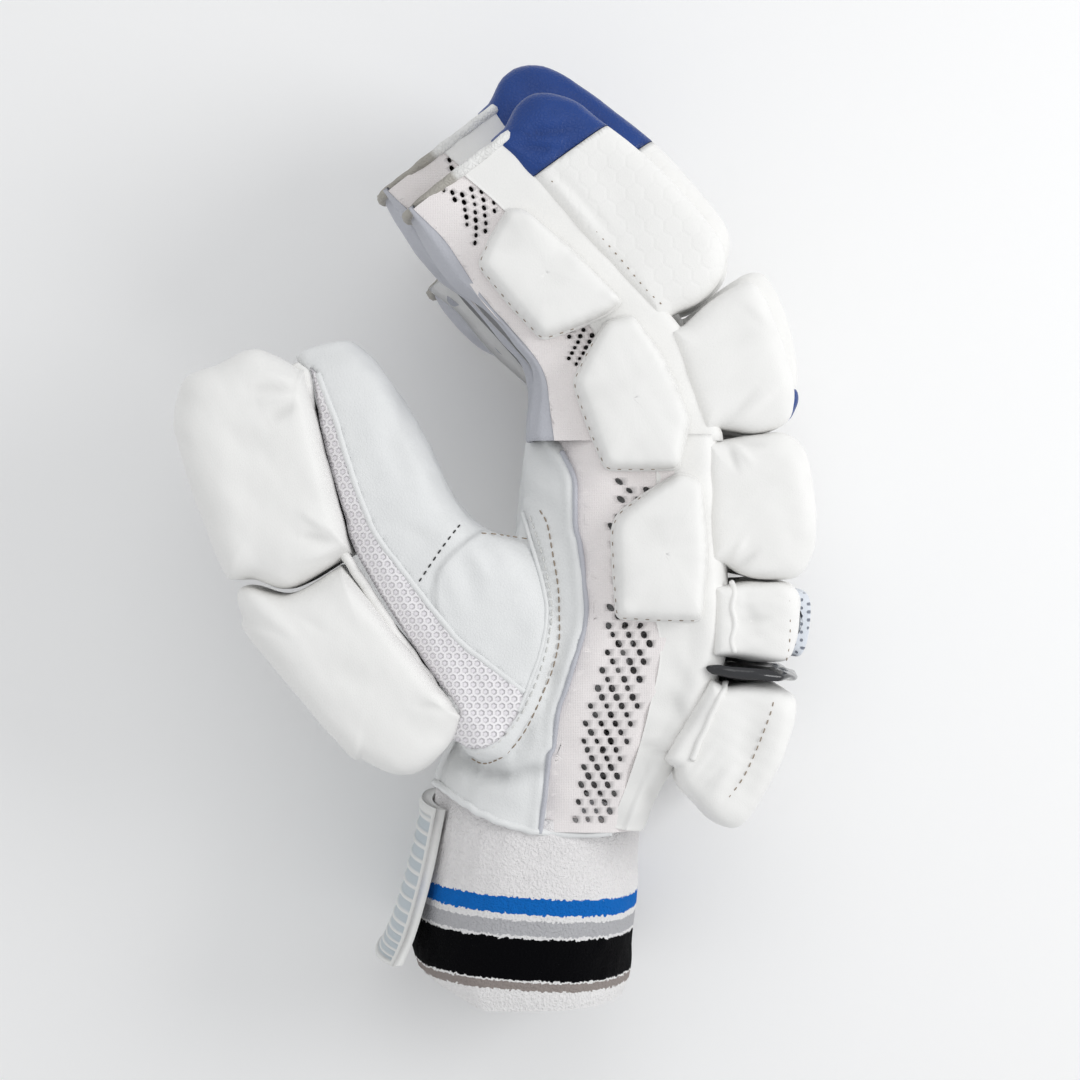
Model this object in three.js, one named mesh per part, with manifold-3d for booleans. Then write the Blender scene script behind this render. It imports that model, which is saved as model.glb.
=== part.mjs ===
// A cricket batting glove for the right hand, lying on its little finger side.
// +X runs from the thumb to the back of the hand, +Y from the cuff to the fingertips, +Z from the
// little finger up to the index finger. The origin is under the middle of the glove. Lengths are in mm.
import * as THREE from 'three';
import { mergeVertices } from 'three/addons/utils/BufferGeometryUtils.js';
import Module from 'manifold-3d';

const wasm = await Module();
wasm.setup();

// Driving dimensions
const GLOVE_DEPTH = 188.4;
const GLOVE_LENGTH = 286;
const FINGER_WIDTH = 24;
const FINGER_SPLIT = 1.2;
const SIDE_PAD_THICKNESS = 11;
const LEATHER = 1.8;
const KNIT = 2;
const CLEARANCE = 0.3;
const PAD_SINK = 5;
const WRIST_NARROWING = 13;
const THUMB_WIDTH = 40;
const THUMB_PAD_WIDTH = 50;
const THUMB_DROP = 20;
const BINDING_WIDTH = 2.4;
const BINDING_HEIGHT = 3.2;
const ROLL_DIAMETER = 3.8;
const CUFF_WALL = 3;
const CUFF_HEIGHT = 98;
const TAB_THICKNESS = 3.4;
const HOLE_WIDTH = 2.1;
const HOLE_PITCH = 4.4;

// Shares: of the thumb's width above its middle where its mesh begins, of its depth where its raised
// edge stands, of the pads' width that the perforated panel covers, and of the roll's reach lost at its ends
const MESH_FROM = 0.2;
const BINDING_SET_IN = 0.06;
const VENT_SHARE = 0.8;
const ROLL_TAPER = 0.25;

// The field of holes in the index side's gusset: its ends in the plan, the rows' pitch as a share of the
// holes' pitch, and its margins in pitches
const HOLE_FIELD = { from: 24.5, to: 41, rowShare: 0.62, leftMargin: 1.4, rightMargin: 0.6 };

// How far round the cuff the strap's end reaches, in radians, above and below the palm side's middle
const TAB_REACH = { up: 0.63, down: 0.75 };

// Levels of the fingers above the floor
const STACK_LOW = SIDE_PAD_THICKNESS + CLEARANCE;
const STACK_HIGH = STACK_LOW + 4 * FINGER_WIDTH + 3 * FINGER_SPLIT;
const fingerMiddle = (place) => STACK_LOW + FINGER_WIDTH / 2 + place * (FINGER_WIDTH + FINGER_SPLIT);
const THUMB_MIDDLE = STACK_HIGH + CLEARANCE - THUMB_DROP;

// Per cent of the glove's depth and length, as a point in the plan
const plan = (u, v) => new THREE.Vector2((u / 100 - 0.5) * GLOVE_DEPTH, (v / 100 - 0.5) * GLOVE_LENGTH);

// Each finger is the index finger drawn out, curled about the knuckles and made slimmer by its own shares.
const FINGERS = [
  { name: 'little', place: 0, stretch: 0.86, curl: 6, slimness: 1, sideGusset: -1 },
  { name: 'ring', place: 1, stretch: 1.1, curl: -2, slimness: 0.95, sideGusset: 1 },
  { name: 'middle', place: 2, stretch: 1.135, curl: 0, slimness: 0.84, sideGusset: 1 },
  { name: 'index', place: 3, stretch: 1, curl: 0, slimness: 1, sideGusset: 1 },
];
const KNUCKLE = { u: 72, v: 60.5 };
const KNUCKLE_BLEND = 10;

// Sections of the index finger's stall, from the knuckles to the tip: where its palm side and its back
// lie in the plan, and between which shares of its depth the knit gusset runs.
const STALL = [
  { palm: [55, 60.6], back: [85.5, 60.6], knitFrom: 0.12, knitTo: 0.42 },
  { palm: [56.3, 66.5], back: [82, 65.8], knitFrom: 0.06, knitTo: 0.45 },
  { palm: [53, 70], back: [79.5, 71], knitFrom: 0.06, knitTo: 0.5 },
  { palm: [48.5, 73.5], back: [72.5, 76], knitFrom: 0.08, knitTo: 0.55 },
  { palm: [43.5, 76], back: [65.5, 81.5], knitFrom: 0.1, knitTo: 0.6 },
  { palm: [39.5, 79.5], back: [59.5, 86], knitFrom: 0.1, knitTo: 0.62 },
  { palm: [36.5, 83], back: [52.5, 91], knitFrom: 0.08, knitTo: 0.6 },
];

// Sections of the hand, from the knuckles to the wrist: the low side comes down to the floor by a share
// of the side pads' thickness and the high side narrows by a share of the wrist's narrowing.
const HAND = [
  { palm: [55, 60.4], back: [85.5, 60.4], lift: 1, narrow: 0, knitFrom: 0.16, knitTo: 0.42 },
  { palm: [54, 55], back: [86, 53.5], lift: 1, narrow: 0, knitFrom: 0.27, knitTo: 0.52 },
  { palm: [53, 48.5], back: [86.5, 46], lift: 1, narrow: 0, knitFrom: 0.32, knitTo: 0.6 },
  { palm: [51, 41], back: [86.5, 38.5], lift: 1, narrow: 0.05, knitFrom: 0.36, knitTo: 0.73 },
  { palm: [47.5, 33], back: [83, 31.5], lift: 0.4, narrow: 0.3, knitFrom: 0.38, knitTo: 0.78 },
  { palm: [43, 27.5], back: [77, 24.5], lift: 0, narrow: 0.7, knitFrom: 0.46, knitTo: 0.86 },
  { palm: [40.3, 22.8], back: [73.5, 19], lift: 0, narrow: 1, knitFrom: 0.5, knitTo: 0.87 },
];

// Sections of the thumb, from its base in the hand to its tip: its edge along the pads, its palm side and
// its share of the thumb's width
const THUMB = [
  { pad: [51.5, 26.5], palm: [59, 35], width: 0.9 },
  { pad: [45.5, 27.5], palm: [61, 42.5], width: 1 },
  { pad: [40, 36], palm: [55.5, 48.5], width: 1 },
  { pad: [32, 44.5], palm: [47.5, 51], width: 1 },
  { pad: [27, 51.5], palm: [43, 54.5], width: 1 },
  { pad: [24, 59], palm: [38.5, 60.5], width: 0.97 },
  { pad: [20.5, 66], palm: [32.5, 67], width: 0.84 },
  { pad: [18, 69], palm: [27, 70.5], width: 0.5 },
];
const THUMB_MESH = [[45, 24.5], [49, 25.5], [54.5, 34.5], [47, 38.2], [41, 42], [35.5, 46.5], [31.5, 51],
  [26.8, 59.5], [23, 66], [19, 68.5], [14, 66], [30, 40]];

// Outlines of the thumb's pads: the first two points are the edge that lies along the thumb
const THUMB_PADS = {
  thumb_pad_upper: [[27, 48.2], [19.5, 67], [15, 68.5], [11.5, 69], [6.5, 67.5], [1.5, 66], [0, 62],
    [0.5, 59.5], [3.5, 53.5], [7.5, 46.5], [9, 45.7], [12, 45.7], [18, 44.8]],
  thumb_pad_lower: [[44.5, 31], [25.5, 46.2], [18, 43.5], [11.5, 44.4], [10, 43.4], [11, 41.2],
    [12.5, 39], [26, 28.5], [29, 27.3], [32, 26.2], [35, 25.6], [38, 26], [41.5, 28]],
};

// Outlines of the back pads of a finger, from their fingertip end round to their wrist end
const BACK_PADS = {
  tip: [[52, 91.8], [54, 94.2], [57, 95.3], [62, 94.7], [66, 92.8], [71.5, 90], [77, 86.7], [83.5, 82],
    [85.7, 79.3], [85, 76.6], [82, 74.4], [78, 73.2]],
  middle: [[80.3, 71.5], [85, 74], [89.5, 75.6], [92, 74.3], [94.3, 70], [96, 66.5], [96.4, 64],
    [95.2, 62], [91, 61], [85.6, 61.4]],
  knuckle: [[85.9, 59.6], [90, 60], [95, 60.3], [98, 59], [99.3, 56], [99.9, 52], [99.6, 48.6],
    [97.5, 46.2], [93, 45.8], [89, 46.3], [86.4, 47.2]],
};
// The seam of the blue fingertip cap, which on the middle finger lies further down
const BLUE_CAP_SEAM = [[57, 87.1], [65.9, 91.3]];
const LONG_CAP_SEAM = [[62.2, 82.4], [71.1, 86.5]];
// The blue band round the lower end of the middle finger's middle pad
const BLUE_BAND = [[80, 65], [91, 65.5], [96.6, 65.6], [98.2, 64.8], [98.5, 63.4], [97.4, 61.9], [93, 61],
  [82, 61.2]];

// Outlines of the two pads across the back of the hand and of the perforated panel on the upper one
const HAND_PADS = {
  hand_pad_upper: [[86.8, 44.9], [92, 45.1], [96.2, 44.8], [97.8, 43.4], [97.5, 41], [96.8, 38.4],
    [95.4, 37.2], [91, 37.3], [86.8, 37.6]],
  hand_pad_lower: [[86.2, 34.4], [91, 34.6], [95.2, 34], [97.3, 32.3], [95.8, 28.2], [93.5, 25],
    [91, 22], [88.3, 20.1], [85.2, 20.2], [82, 22], [79.2, 24.3], [78.8, 26]],
};
const VENT_PANEL = [[97.2, 44.4], [99.2, 44.2], [99.9, 42.6], [99.4, 39.2], [98.2, 37.4], [96.4, 37.8],
  [97.7, 39.6], [98.1, 43]];
const ROLL = [[83, 36.2], [98.4, 35.3]];

// Outlines of the side pads, seen from the index side
const SIDE_PADS = {
  side_pad_tip: [[52.5, 83.2], [50, 80.5], [48, 77.6], [52.5, 74], [57.5, 70.3], [62.5, 71.4],
    [67.2, 72.7], [69.6, 74], [62.5, 78.6], [55, 83]],
  side_pad_middle: [[67.5, 71.6], [65, 68.8], [62.7, 65.6], [65, 61.3], [67.5, 57], [73, 57], [78.5, 57],
    [80, 62], [76, 68], [71.5, 72.3]],
  side_pad_knuckle: [[78.8, 56.2], [74, 54.2], [69.5, 52], [68.7, 50.5], [69, 46], [69.3, 41.8],
    [75.5, 41.6], [82, 41.5], [82.8, 48], [82, 55.5]],
};

// Sections of the knit cuff, from its seam to its hem, and how far the strap's end stands off it
const CUFF = [
  { palm: [40, 22.5], back: [73.8, 18.7], height: 1 },
  { palm: [38, 14.5], back: [73.5, 12], height: 1 },
  { palm: [36.2, 7], back: [72.6, 6], height: 0.99 },
  { palm: [35.6, 2.6], back: [72, 2], height: 0.98 },
  { palm: [36.6, 0.3], back: [71.2, 0.2], height: 0.95 },
];
const TAB = [
  { along: 0.06, standOff: 0.4 },
  { along: 0.35, standOff: 1.5 },
  { along: 0.62, standOff: 4 },
  { along: 0.84, standOff: 7.5 },
];

// A surface material
function finish(colour, roughness, metalness = 0) {
  return new THREE.MeshStandardMaterial({ color: colour, roughness, metalness });
}
const FINISHES = {
  whiteLeather: finish(0xf4f3f0, 0.5),
  palmLeather: finish(0xdde1df, 0.55),
  blueLeather: finish(0x254896, 0.45),
  knit: finish(0xe0d9db, 0.9),
  mesh: finish(0xf0f0f2, 0.8),
  cuffKnit: finish(0xe8e6e4, 0.95),
  piping: finish(0x191a1e, 0.3),
  rubber: finish(0xdededa, 0.45),
};

const glove = new THREE.Group();
glove.name = 'cricket_batting_glove';

function addPiece(name, geometry, material) {
  const piece = new THREE.Mesh(geometry, material.clone());
  piece.name = name;
  glove.add(piece);
}

// A geometry of triangles over a list of points, turned to face out
function closedGeometry(points, triangles) {
  let volume = 0;
  for (const [a, b, c] of triangles) {
    volume += points[a].dot(new THREE.Vector3().crossVectors(points[b], points[c]));
  }
  const faces = volume < 0 ? triangles.map(([a, b, c]) => [a, c, b]) : triangles;
  const geometry = new THREE.BufferGeometry().setFromPoints(points);
  geometry.setIndex(faces.flat());
  return geometry;
}

// A solid skinned over rings of points of equal count, its two ends closed by fans
function skin(rings) {
  const count = rings[0].length;
  const points = rings.flat();
  const triangles = [];
  for (let ring = 0; ring + 1 < rings.length; ring += 1) {
    for (let i = 0; i < count; i += 1) {
      const next = (i + 1) % count;
      const [a, b] = [ring * count + i, ring * count + next];
      triangles.push([a, b, b + count], [a, b + count, a + count]);
    }
  }
  for (const [ring, flipped] of [[0, true], [rings.length - 1, false]]) {
    const centre = new THREE.Vector3();
    rings[ring].forEach((p) => centre.addScaledVector(p, 1 / count));
    const hub = points.push(centre) - 1;
    for (let i = 0; i < count; i += 1) {
      const [a, b] = [ring * count + i, ring * count + ((i + 1) % count)];
      triangles.push(flipped ? [hub, b, a] : [hub, a, b]);
    }
  }
  return closedGeometry(points, triangles);
}

// A wall between an outer and an inner grid of points, closed along its edges
function wall(outer, inner, ringed = false) {
  const rows = outer.length;
  const columns = outer[0].length;
  const points = [...outer.flat(), ...inner.flat()];
  const size = rows * columns;
  const triangles = [];
  const quad = (a, b, c, d) => triangles.push([a, b, c], [a, c, d]);
  const at = (row, column) => row * columns + (column % columns);
  const spans = ringed ? columns : columns - 1;
  for (let row = 0; row + 1 < rows; row += 1) {
    for (let column = 0; column < spans; column += 1) {
      const corners = [at(row, column), at(row, column + 1), at(row + 1, column + 1), at(row + 1, column)];
      quad(...corners);
      quad(...corners.map((corner) => corner + size).reverse());
    }
    if (!ringed) {
      quad(at(row, 0), at(row + 1, 0), at(row + 1, 0) + size, at(row, 0) + size);
      const last = columns - 1;
      quad(at(row + 1, last), at(row, last), at(row, last) + size, at(row + 1, last) + size);
    }
  }
  for (let column = 0; column < spans; column += 1) {
    quad(at(0, column + 1), at(0, column), at(0, column) + size, at(0, column + 1) + size);
    const end = rows - 1;
    quad(at(end, column), at(end, column + 1), at(end, column + 1) + size, at(end, column) + size);
  }
  return closedGeometry(points, triangles);
}

// Booleans
function solidOf(geometry) {
  const bare = geometry.clone();
  bare.deleteAttribute('normal');
  bare.deleteAttribute('uv');
  const merged = mergeVertices(bare, 1e-4);
  return new wasm.Manifold(new wasm.Mesh({
    numProp: 3,
    vertProperties: new Float32Array(merged.attributes.position.array),
    triVerts: new Uint32Array(merged.index.array),
  }));
}

// The largest body of a solid, as a geometry
function geometryOf(solid) {
  const body = solid.decompose().sort((a, b) => b.volume() - a.volume())[0];
  const mesh = body.getMesh();
  const geometry = new THREE.BufferGeometry();
  geometry.setAttribute('position', new THREE.BufferAttribute(mesh.vertProperties, 3));
  geometry.setIndex(new THREE.BufferAttribute(mesh.triVerts, 1));
  return geometry;
}

// An upright prism over a closed outline in the plan
function prism(outline, low, high) {
  const geometry = new THREE.ExtrudeGeometry(new THREE.Shape(outline), { depth: high - low, bevelEnabled: false });
  return solidOf(geometry.translate(0, 0, low));
}

// A closed outline with each corner moved out along the mean of its two sides' normals
function offsetOutline(outline, distance) {
  const turn = THREE.ShapeUtils.isClockWise(outline) ? -1 : 1;
  return outline.map((corner, i) => {
    const before = corner.clone().sub(outline.at(i - 1)).normalize();
    const after = outline[(i + 1) % outline.length].clone().sub(corner).normalize();
    const normals = [before, after].map((side) => new THREE.Vector2(side.y, -side.x).multiplyScalar(turn));
    const mean = normals[0].clone().add(normals[1]).normalize();
    return corner.clone().addScaledVector(mean, distance / Math.max(mean.dot(normals[0]), 0.4));
  });
}

// A finger's own place for a point of the index finger's plan
function fingerPlan(finger, [u, v]) {
  const point = plan(u, v);
  const pivot = plan(KNUCKLE.u, KNUCKLE.v);
  const share = THREE.MathUtils.smoothstep(v, KNUCKLE.v, KNUCKLE.v + KNUCKLE_BLEND);
  const stretch = 1 + (finger.stretch - 1) * share;
  const curl = THREE.MathUtils.degToRad(finger.curl) * share;
  return point.sub(pivot).multiplyScalar(stretch).rotateAround(new THREE.Vector2(), curl).add(pivot);
}

// A point of a tube's section: across it from its palm side to its back, up from its low side to its
// high side, and drawn in by a wall
function sectionPoint(section, across, up, inset) {
  const depth = section.palm.distanceTo(section.back);
  const middle = section.palm.clone().lerp(section.back, 0.5);
  const direction = section.back.clone().sub(section.palm).normalize();
  const reach = (across - 0.5) * (depth - 2 * inset);
  const rise = up * ((section.high - section.low) / 2 - inset);
  return new THREE.Vector3(
    middle.x + direction.x * reach, middle.y + direction.y * reach, (section.low + section.high) / 2 + rise);
}

// The section's corners that a panel of the tube follows, as pairs of across and up
const shift = (section, share, sign) => share + (sign * CLEARANCE) / 2 / section.palm.distanceTo(section.back);
const PANELS = {
  palm: (s) => {
    const edge = shift(s, s.knitFrom, -1);
    return [[edge, -1], [edge * 0.5, -0.94], [0.04, -0.7], [0, -0.3], [0, 0.3], [0.04, 0.7],
      [edge * 0.5, 0.94], [edge, 1]];
  },
  knitHigh: (s) => [[shift(s, s.knitFrom, 1), 1], [shift(s, s.knitTo, -1), 1]],
  knitLow: (s) => [[shift(s, s.knitTo, -1), -1], [shift(s, s.knitFrom, 1), -1]],
  backBoth: (s) => {
    const edge = shift(s, s.knitTo, 1);
    return [[edge, 1], [0.92, 1], [0.99, 0.82], [1, 0.4], [1, -0.4], [0.99, -0.82], [0.92, -1], [edge, -1]];
  },
  backAndLow: (s) => {
    const [high, low] = [shift(s, s.knitTo, 1), shift(s, s.knitFrom, 1)];
    return [[high, 1], [0.92, 1], [0.99, 0.82], [1, 0.4], [1, -0.4], [0.99, -0.82], [0.92, -1], [low, -1]];
  },
  backAndHigh: (s) => {
    const [high, low] = [shift(s, s.knitFrom, 1), shift(s, s.knitTo, 1)];
    return [[high, 1], [0.92, 1], [0.99, 0.82], [1, 0.4], [1, -0.4], [0.99, -0.82], [0.92, -1], [low, -1]];
  },
};

// A panel of a tube's wall
function panel(sections, corners, thickness) {
  const grid = (inset) => sections.map((s) => corners(s).map(([across, up]) => sectionPoint(s, across, up, inset)));
  return wall(grid(0), grid(thickness));
}

// The tube's whole outer or inner form, as rings
function tubeRings(sections, inset) {
  const corners = (s) => [...PANELS.palm(s), ...PANELS.backBoth(s).slice(1, -1)];
  return sections.map((s) => corners(s).map(([across, up]) => sectionPoint(s, across, up, inset)));
}

// The sections of a finger's stall
function stallSections(finger) {
  const middle = fingerMiddle(finger.place);
  const palmOf = (row) => {
    const share = THREE.MathUtils.smoothstep(row.palm[1], KNUCKLE.v, KNUCKLE.v + KNUCKLE_BLEND);
    const depth = 1 + (finger.slimness - 1) * share;
    return fingerPlan(finger, row.back).lerp(fingerPlan(finger, row.palm), depth);
  };
  return STALL.map((row) => ({
    palm: palmOf(row),
    back: fingerPlan(finger, row.back),
    low: middle - FINGER_WIDTH / 2,
    high: middle + FINGER_WIDTH / 2,
    knitFrom: row.knitFrom,
    knitTo: row.knitTo,
  }));
}

// A section moved past the last one of a tube by a distance
function beyond(sections, distance) {
  const last = sections.at(-1);
  const chord = last.back.clone().sub(last.palm).normalize();
  const previous = sections.at(-2);
  const way = new THREE.Vector2(-chord.y, chord.x);
  const run = last.palm.clone().add(last.back).sub(previous.palm).sub(previous.back);
  const step = way.multiplyScalar(distance * Math.sign(way.dot(run)));
  return { ...last, palm: last.palm.clone().add(step), back: last.back.clone().add(step) };
}

function addFinger(finger) {
  const sections = stallSections(finger);
  const high = finger.sideGusset > 0;
  const { name } = finger;
  addPiece(`${name}_palm_leather`, panel(sections, PANELS.palm, LEATHER), FINISHES.palmLeather);
  addPiece(`${name}_gusset`, panel(sections, high ? PANELS.knitHigh : PANELS.knitLow, KNIT), FINISHES.knit);
  const back = high ? PANELS.backAndLow : PANELS.backAndHigh;
  addPiece(`${name}_back_leather`, panel(sections, back, LEATHER), FINISHES.whiteLeather);
  const tip = [CLEARANCE, CLEARANCE + LEATHER].map((distance) => beyond(sections, distance));
  addPiece(`${name}_tip`, skin(tubeRings(tip, 0)), FINISHES.palmLeather);
  addBackPads(finger, [...sections, beyond(sections, LEATHER + 2 * CLEARANCE)]);
}

// How a pad is drawn in towards its low and high sides: shares of its half width, height and length
const CROWN = [
  { side: -1, height: 0.62, length: 0.86 },
  { side: -0.74, height: 0.9, length: 0.96 },
  { side: -0.3, height: 1, length: 1 },
  { side: 0.3, height: 1, length: 1 },
  { side: 0.74, height: 0.9, length: 0.96 },
  { side: 1, height: 0.62, length: 0.86 },
];
const WIDE_CROWN = [
  { side: -1, height: 0.66, length: 0.9 },
  { side: -0.92, height: 0.88, length: 0.97 },
  { side: -0.6, height: 0.97, length: 1 },
  { side: 0, height: 1, length: 1 },
  { side: 0.6, height: 0.97, length: 1 },
  { side: 0.92, height: 0.88, length: 0.97 },
  { side: 1, height: 0.66, length: 0.9 },
];

// A padded piece that stands on a base line, from the outline's first point to its last, and is crowned
// from its low side to its high side
function pad(outline, middle, width, crown, samples) {
  const [first, last] = [outline[0], outline.at(-1)];
  const chord = last.clone().sub(first);
  const length = chord.length();
  const along = chord.clone().normalize();
  const out = new THREE.Vector2(along.y, -along.x);
  const curve = new THREE.SplineCurve(outline);
  const top = curve.getSpacedPoints(samples);
  if (top.reduce((sum, p) => sum + p.clone().sub(first).dot(out), 0) < 0) out.negate();
  const ring = [...top, last.clone().addScaledVector(out, -PAD_SINK), first.clone().addScaledVector(out, -PAD_SINK)];
  return skin(crown.map((level) => ring.map((p) => {
    const run = p.clone().sub(first);
    const share = (run.dot(along) / length - 0.5) * level.length + 0.5;
    const rise = run.dot(out);
    const height = rise > 0 ? rise * level.height : rise;
    const place = first.clone().addScaledVector(along, share * length).addScaledVector(out, height);
    return new THREE.Vector3(place.x, place.y, middle + (level.side * width) / 2);
  })));
}

// The part of the plan beyond a seam, on the side of its left hand, set back from it by a distance
function beyondSeam([from, to], distance) {
  const along = to.clone().sub(from).normalize();
  const left = new THREE.Vector2(-along.y, along.x);
  const start = from.clone().addScaledVector(left, distance).addScaledVector(along, -GLOVE_DEPTH);
  const end = to.clone().addScaledVector(left, distance).addScaledVector(along, GLOVE_DEPTH);
  const corners = [start, end, end.clone().addScaledVector(left, GLOVE_DEPTH),
    start.clone().addScaledVector(left, GLOVE_DEPTH)];
  return prism(corners, -GLOVE_DEPTH, GLOVE_DEPTH);
}

// The pads on a finger's back, fitted over its stall
function addBackPads(finger, sections) {
  const middle = fingerMiddle(finger.place);
  const seat = solidOf(skin(tubeRings(sections, -CLEARANCE)))
    .add(handSolid(-CLEARANCE));
  const cushion = (outline, width) => (
    solidOf(pad(outline.map((point) => fingerPlan(finger, point)), middle, width, CROWN, 11)).subtract(seat));
  for (const [row, outline] of Object.entries(BACK_PADS)) {
    let whole = cushion(outline, FINGER_WIDTH);
    if (finger.name === 'middle' && row === 'middle') {
      const band = offsetOutline(BLUE_BAND.map((point) => fingerPlan(finger, point)), CLEARANCE);
      whole = whole.subtract(prism(band, 0, STACK_HIGH));
      addPiece('middle_blue_band', geometryOf(cushion(BLUE_BAND, FINGER_WIDTH)), FINISHES.blueLeather);
    }
    if (row !== 'tip') {
      addPiece(`${finger.name}_pad_${row}`, geometryOf(whole), FINISHES.whiteLeather);
      continue;
    }
    const shares = finger.name === 'middle' ? LONG_CAP_SEAM : BLUE_CAP_SEAM;
    const seam = shares.map((point) => fingerPlan(finger, point));
    const cap = whole.intersect(beyondSeam(seam, CLEARANCE / 2));
    const rest = whole.subtract(beyondSeam(seam, -CLEARANCE / 2));
    addPiece(`${finger.name}_pad_tip`, geometryOf(rest), FINISHES.whiteLeather);
    addPiece(`${finger.name}_blue_cap`, geometryOf(cap), FINISHES.blueLeather);
  }
}

const handSections = HAND.map((row) => ({
  palm: plan(...row.palm),
  back: plan(...row.back),
  low: row.lift * STACK_LOW,
  high: STACK_HIGH - row.narrow * WRIST_NARROWING,
  knitFrom: row.knitFrom,
  knitTo: row.knitTo,
}));

// The hand's whole form, grown or drawn in by a distance
function handSolid(inset) {
  return solidOf(skin(tubeRings(handSections, inset)));
}

const thumbSections = THUMB.map((row) => ({
  palm: plan(...row.pad),
  back: plan(...row.palm),
  low: THUMB_MIDDLE - (row.width * THUMB_WIDTH) / 2,
  high: THUMB_MIDDLE + (row.width * THUMB_WIDTH) / 2,
}));

// The thumb's whole form, rounder than a finger's
function thumbRings(inset) {
  const corners = [[0, -0.55], [0, 0.55], [0.06, 0.86], [0.2, 1], [0.72, 1], [0.9, 0.82], [1, 0.4],
    [1, -0.4], [0.9, -0.82], [0.72, -1], [0.2, -1], [0.06, -0.86]];
  const last = thumbSections.length - 1;
  return thumbSections
    .filter((section, row) => inset <= 0 || row < last)
    .map((s) => corners.map(([across, up]) => sectionPoint(s, across, up, inset)));
}

// Rows of holes over the gusset's face, every other row set over by half a pitch
function knitHoles() {
  const [low, high] = [STACK_HIGH - WRIST_NARROWING - KNIT * 3, STACK_HIGH + KNIT];
  const drills = [];
  const from = plan(0, HOLE_FIELD.from).y;
  const to = plan(0, HOLE_FIELD.to).y;
  const rowPitch = HOLE_PITCH * HOLE_FIELD.rowShare;
  for (let row = 0; from + row * rowPitch < to; row += 1) {
    const y = from + row * rowPitch;
    const [knitLeft, knitRight] = gussetEdges(y);
    const setOver = row % 2 ? 0.5 : 0;
    const start = knitLeft + HOLE_PITCH * (HOLE_FIELD.leftMargin + setOver);
    for (let x = start; x < knitRight - HOLE_PITCH * HOLE_FIELD.rightMargin; x += HOLE_PITCH) {
      const corners = [0, 1, 2, 3].map((corner) => {
        const angle = (corner * Math.PI) / 2;
        return new THREE.Vector2(x + Math.cos(angle) * HOLE_WIDTH / 2, y + Math.sin(angle) * HOLE_WIDTH / 2);
      });
      drills.push(prism(corners, low, high));
    }
  }
  return wasm.Manifold.union(drills);
}

// Where the hand's gusset begins and ends on a line across the plan
function gussetEdges(y) {
  return [(s) => s.knitFrom, (s) => s.knitTo].map((share) => {
    const line = handSections.map((s) => s.palm.clone().lerp(s.back, share(s)));
    const row = line.findIndex((p, i) => i + 1 < line.length && line[i + 1].y <= y);
    const [a, b] = [line[row], line[row + 1]];
    return THREE.MathUtils.mapLinear(y, a.y, b.y, a.x, b.x);
  });
}

function addHand() {
  const thumbHollow = solidOf(skin(thumbRings(LEATHER)));
  const palm = solidOf(panel(handSections, PANELS.palm, LEATHER)).subtract(thumbHollow);
  addPiece('hand_palm_leather', geometryOf(palm), FINISHES.palmLeather);
  const gusset = solidOf(panel(handSections, PANELS.knitHigh, KNIT)).subtract(knitHoles());
  addPiece('hand_index_gusset', geometryOf(gusset), FINISHES.knit);
  addPiece('hand_little_gusset', panel(handSections, PANELS.knitLow, KNIT), FINISHES.knit);
  addPiece('hand_back_leather', panel(handSections, PANELS.backBoth, LEATHER), FINISHES.whiteLeather);
}

function addThumb() {
  const form = solidOf(skin(thumbRings(0)));
  const shell = form.subtract(solidOf(skin(thumbRings(LEATHER)))).subtract(handSolid(-CLEARANCE));
  const outline = THUMB_MESH.map((point) => plan(...point));
  const grown = offsetOutline(outline, CLEARANCE);
  const side = [THUMB_MIDDLE + THUMB_WIDTH * MESH_FROM, STACK_HIGH + THUMB_WIDTH];
  addPiece('thumb_leather', geometryOf(shell.subtract(prism(grown, ...side))), FINISHES.palmLeather);
  addPiece('thumb_mesh', geometryOf(shell.intersect(prism(outline, ...side))), FINISHES.mesh);
  addPiece('thumb_binding', bindingWall(0), FINISHES.whiteLeather);
  const seat = solidOf(skin(thumbRings(-CLEARANCE))).add(solidOf(bindingWall(CLEARANCE)));
  for (const [name, points] of Object.entries(THUMB_PADS)) {
    const placed = points.map((point) => plan(...point));
    const cushion = thumbPad(placed);
    addPiece(name, geometryOf(solidOf(cushion).subtract(seat)), FINISHES.whiteLeather);
  }
}

// A thumb pad: its first two outline points are the edge that lies along the thumb
function thumbPad(points) {
  const outline = [...points.slice(1), points[0]];
  return pad(outline, THUMB_MIDDLE, THUMB_PAD_WIDTH, WIDE_CROWN, 15);
}

// The raised edge where the thumb's pads meet its mesh, grown by a distance
function bindingWall(grow) {
  const rows = thumbSections.slice(1, -1);
  const grid = (rise) => rows.map((s, row) => {
    const across = s.back.clone().sub(s.palm).normalize();
    const stretch = row === 0 || row === rows.length - 1 ? grow : 0;
    const way = new THREE.Vector2(-across.y, across.x).multiplyScalar(row === 0 ? -stretch : stretch);
    return [CLEARANCE - grow, CLEARANCE + BINDING_WIDTH + grow].map((offset) => {
      const place = s.palm.clone().addScaledVector(across, offset + s.palm.distanceTo(s.back) * BINDING_SET_IN).add(way);
      return new THREE.Vector3(place.x, place.y, s.high + rise);
    });
  });
  return wall(grid(CLEARANCE + BINDING_HEIGHT + grow), grid(CLEARANCE - grow));
}

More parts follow.
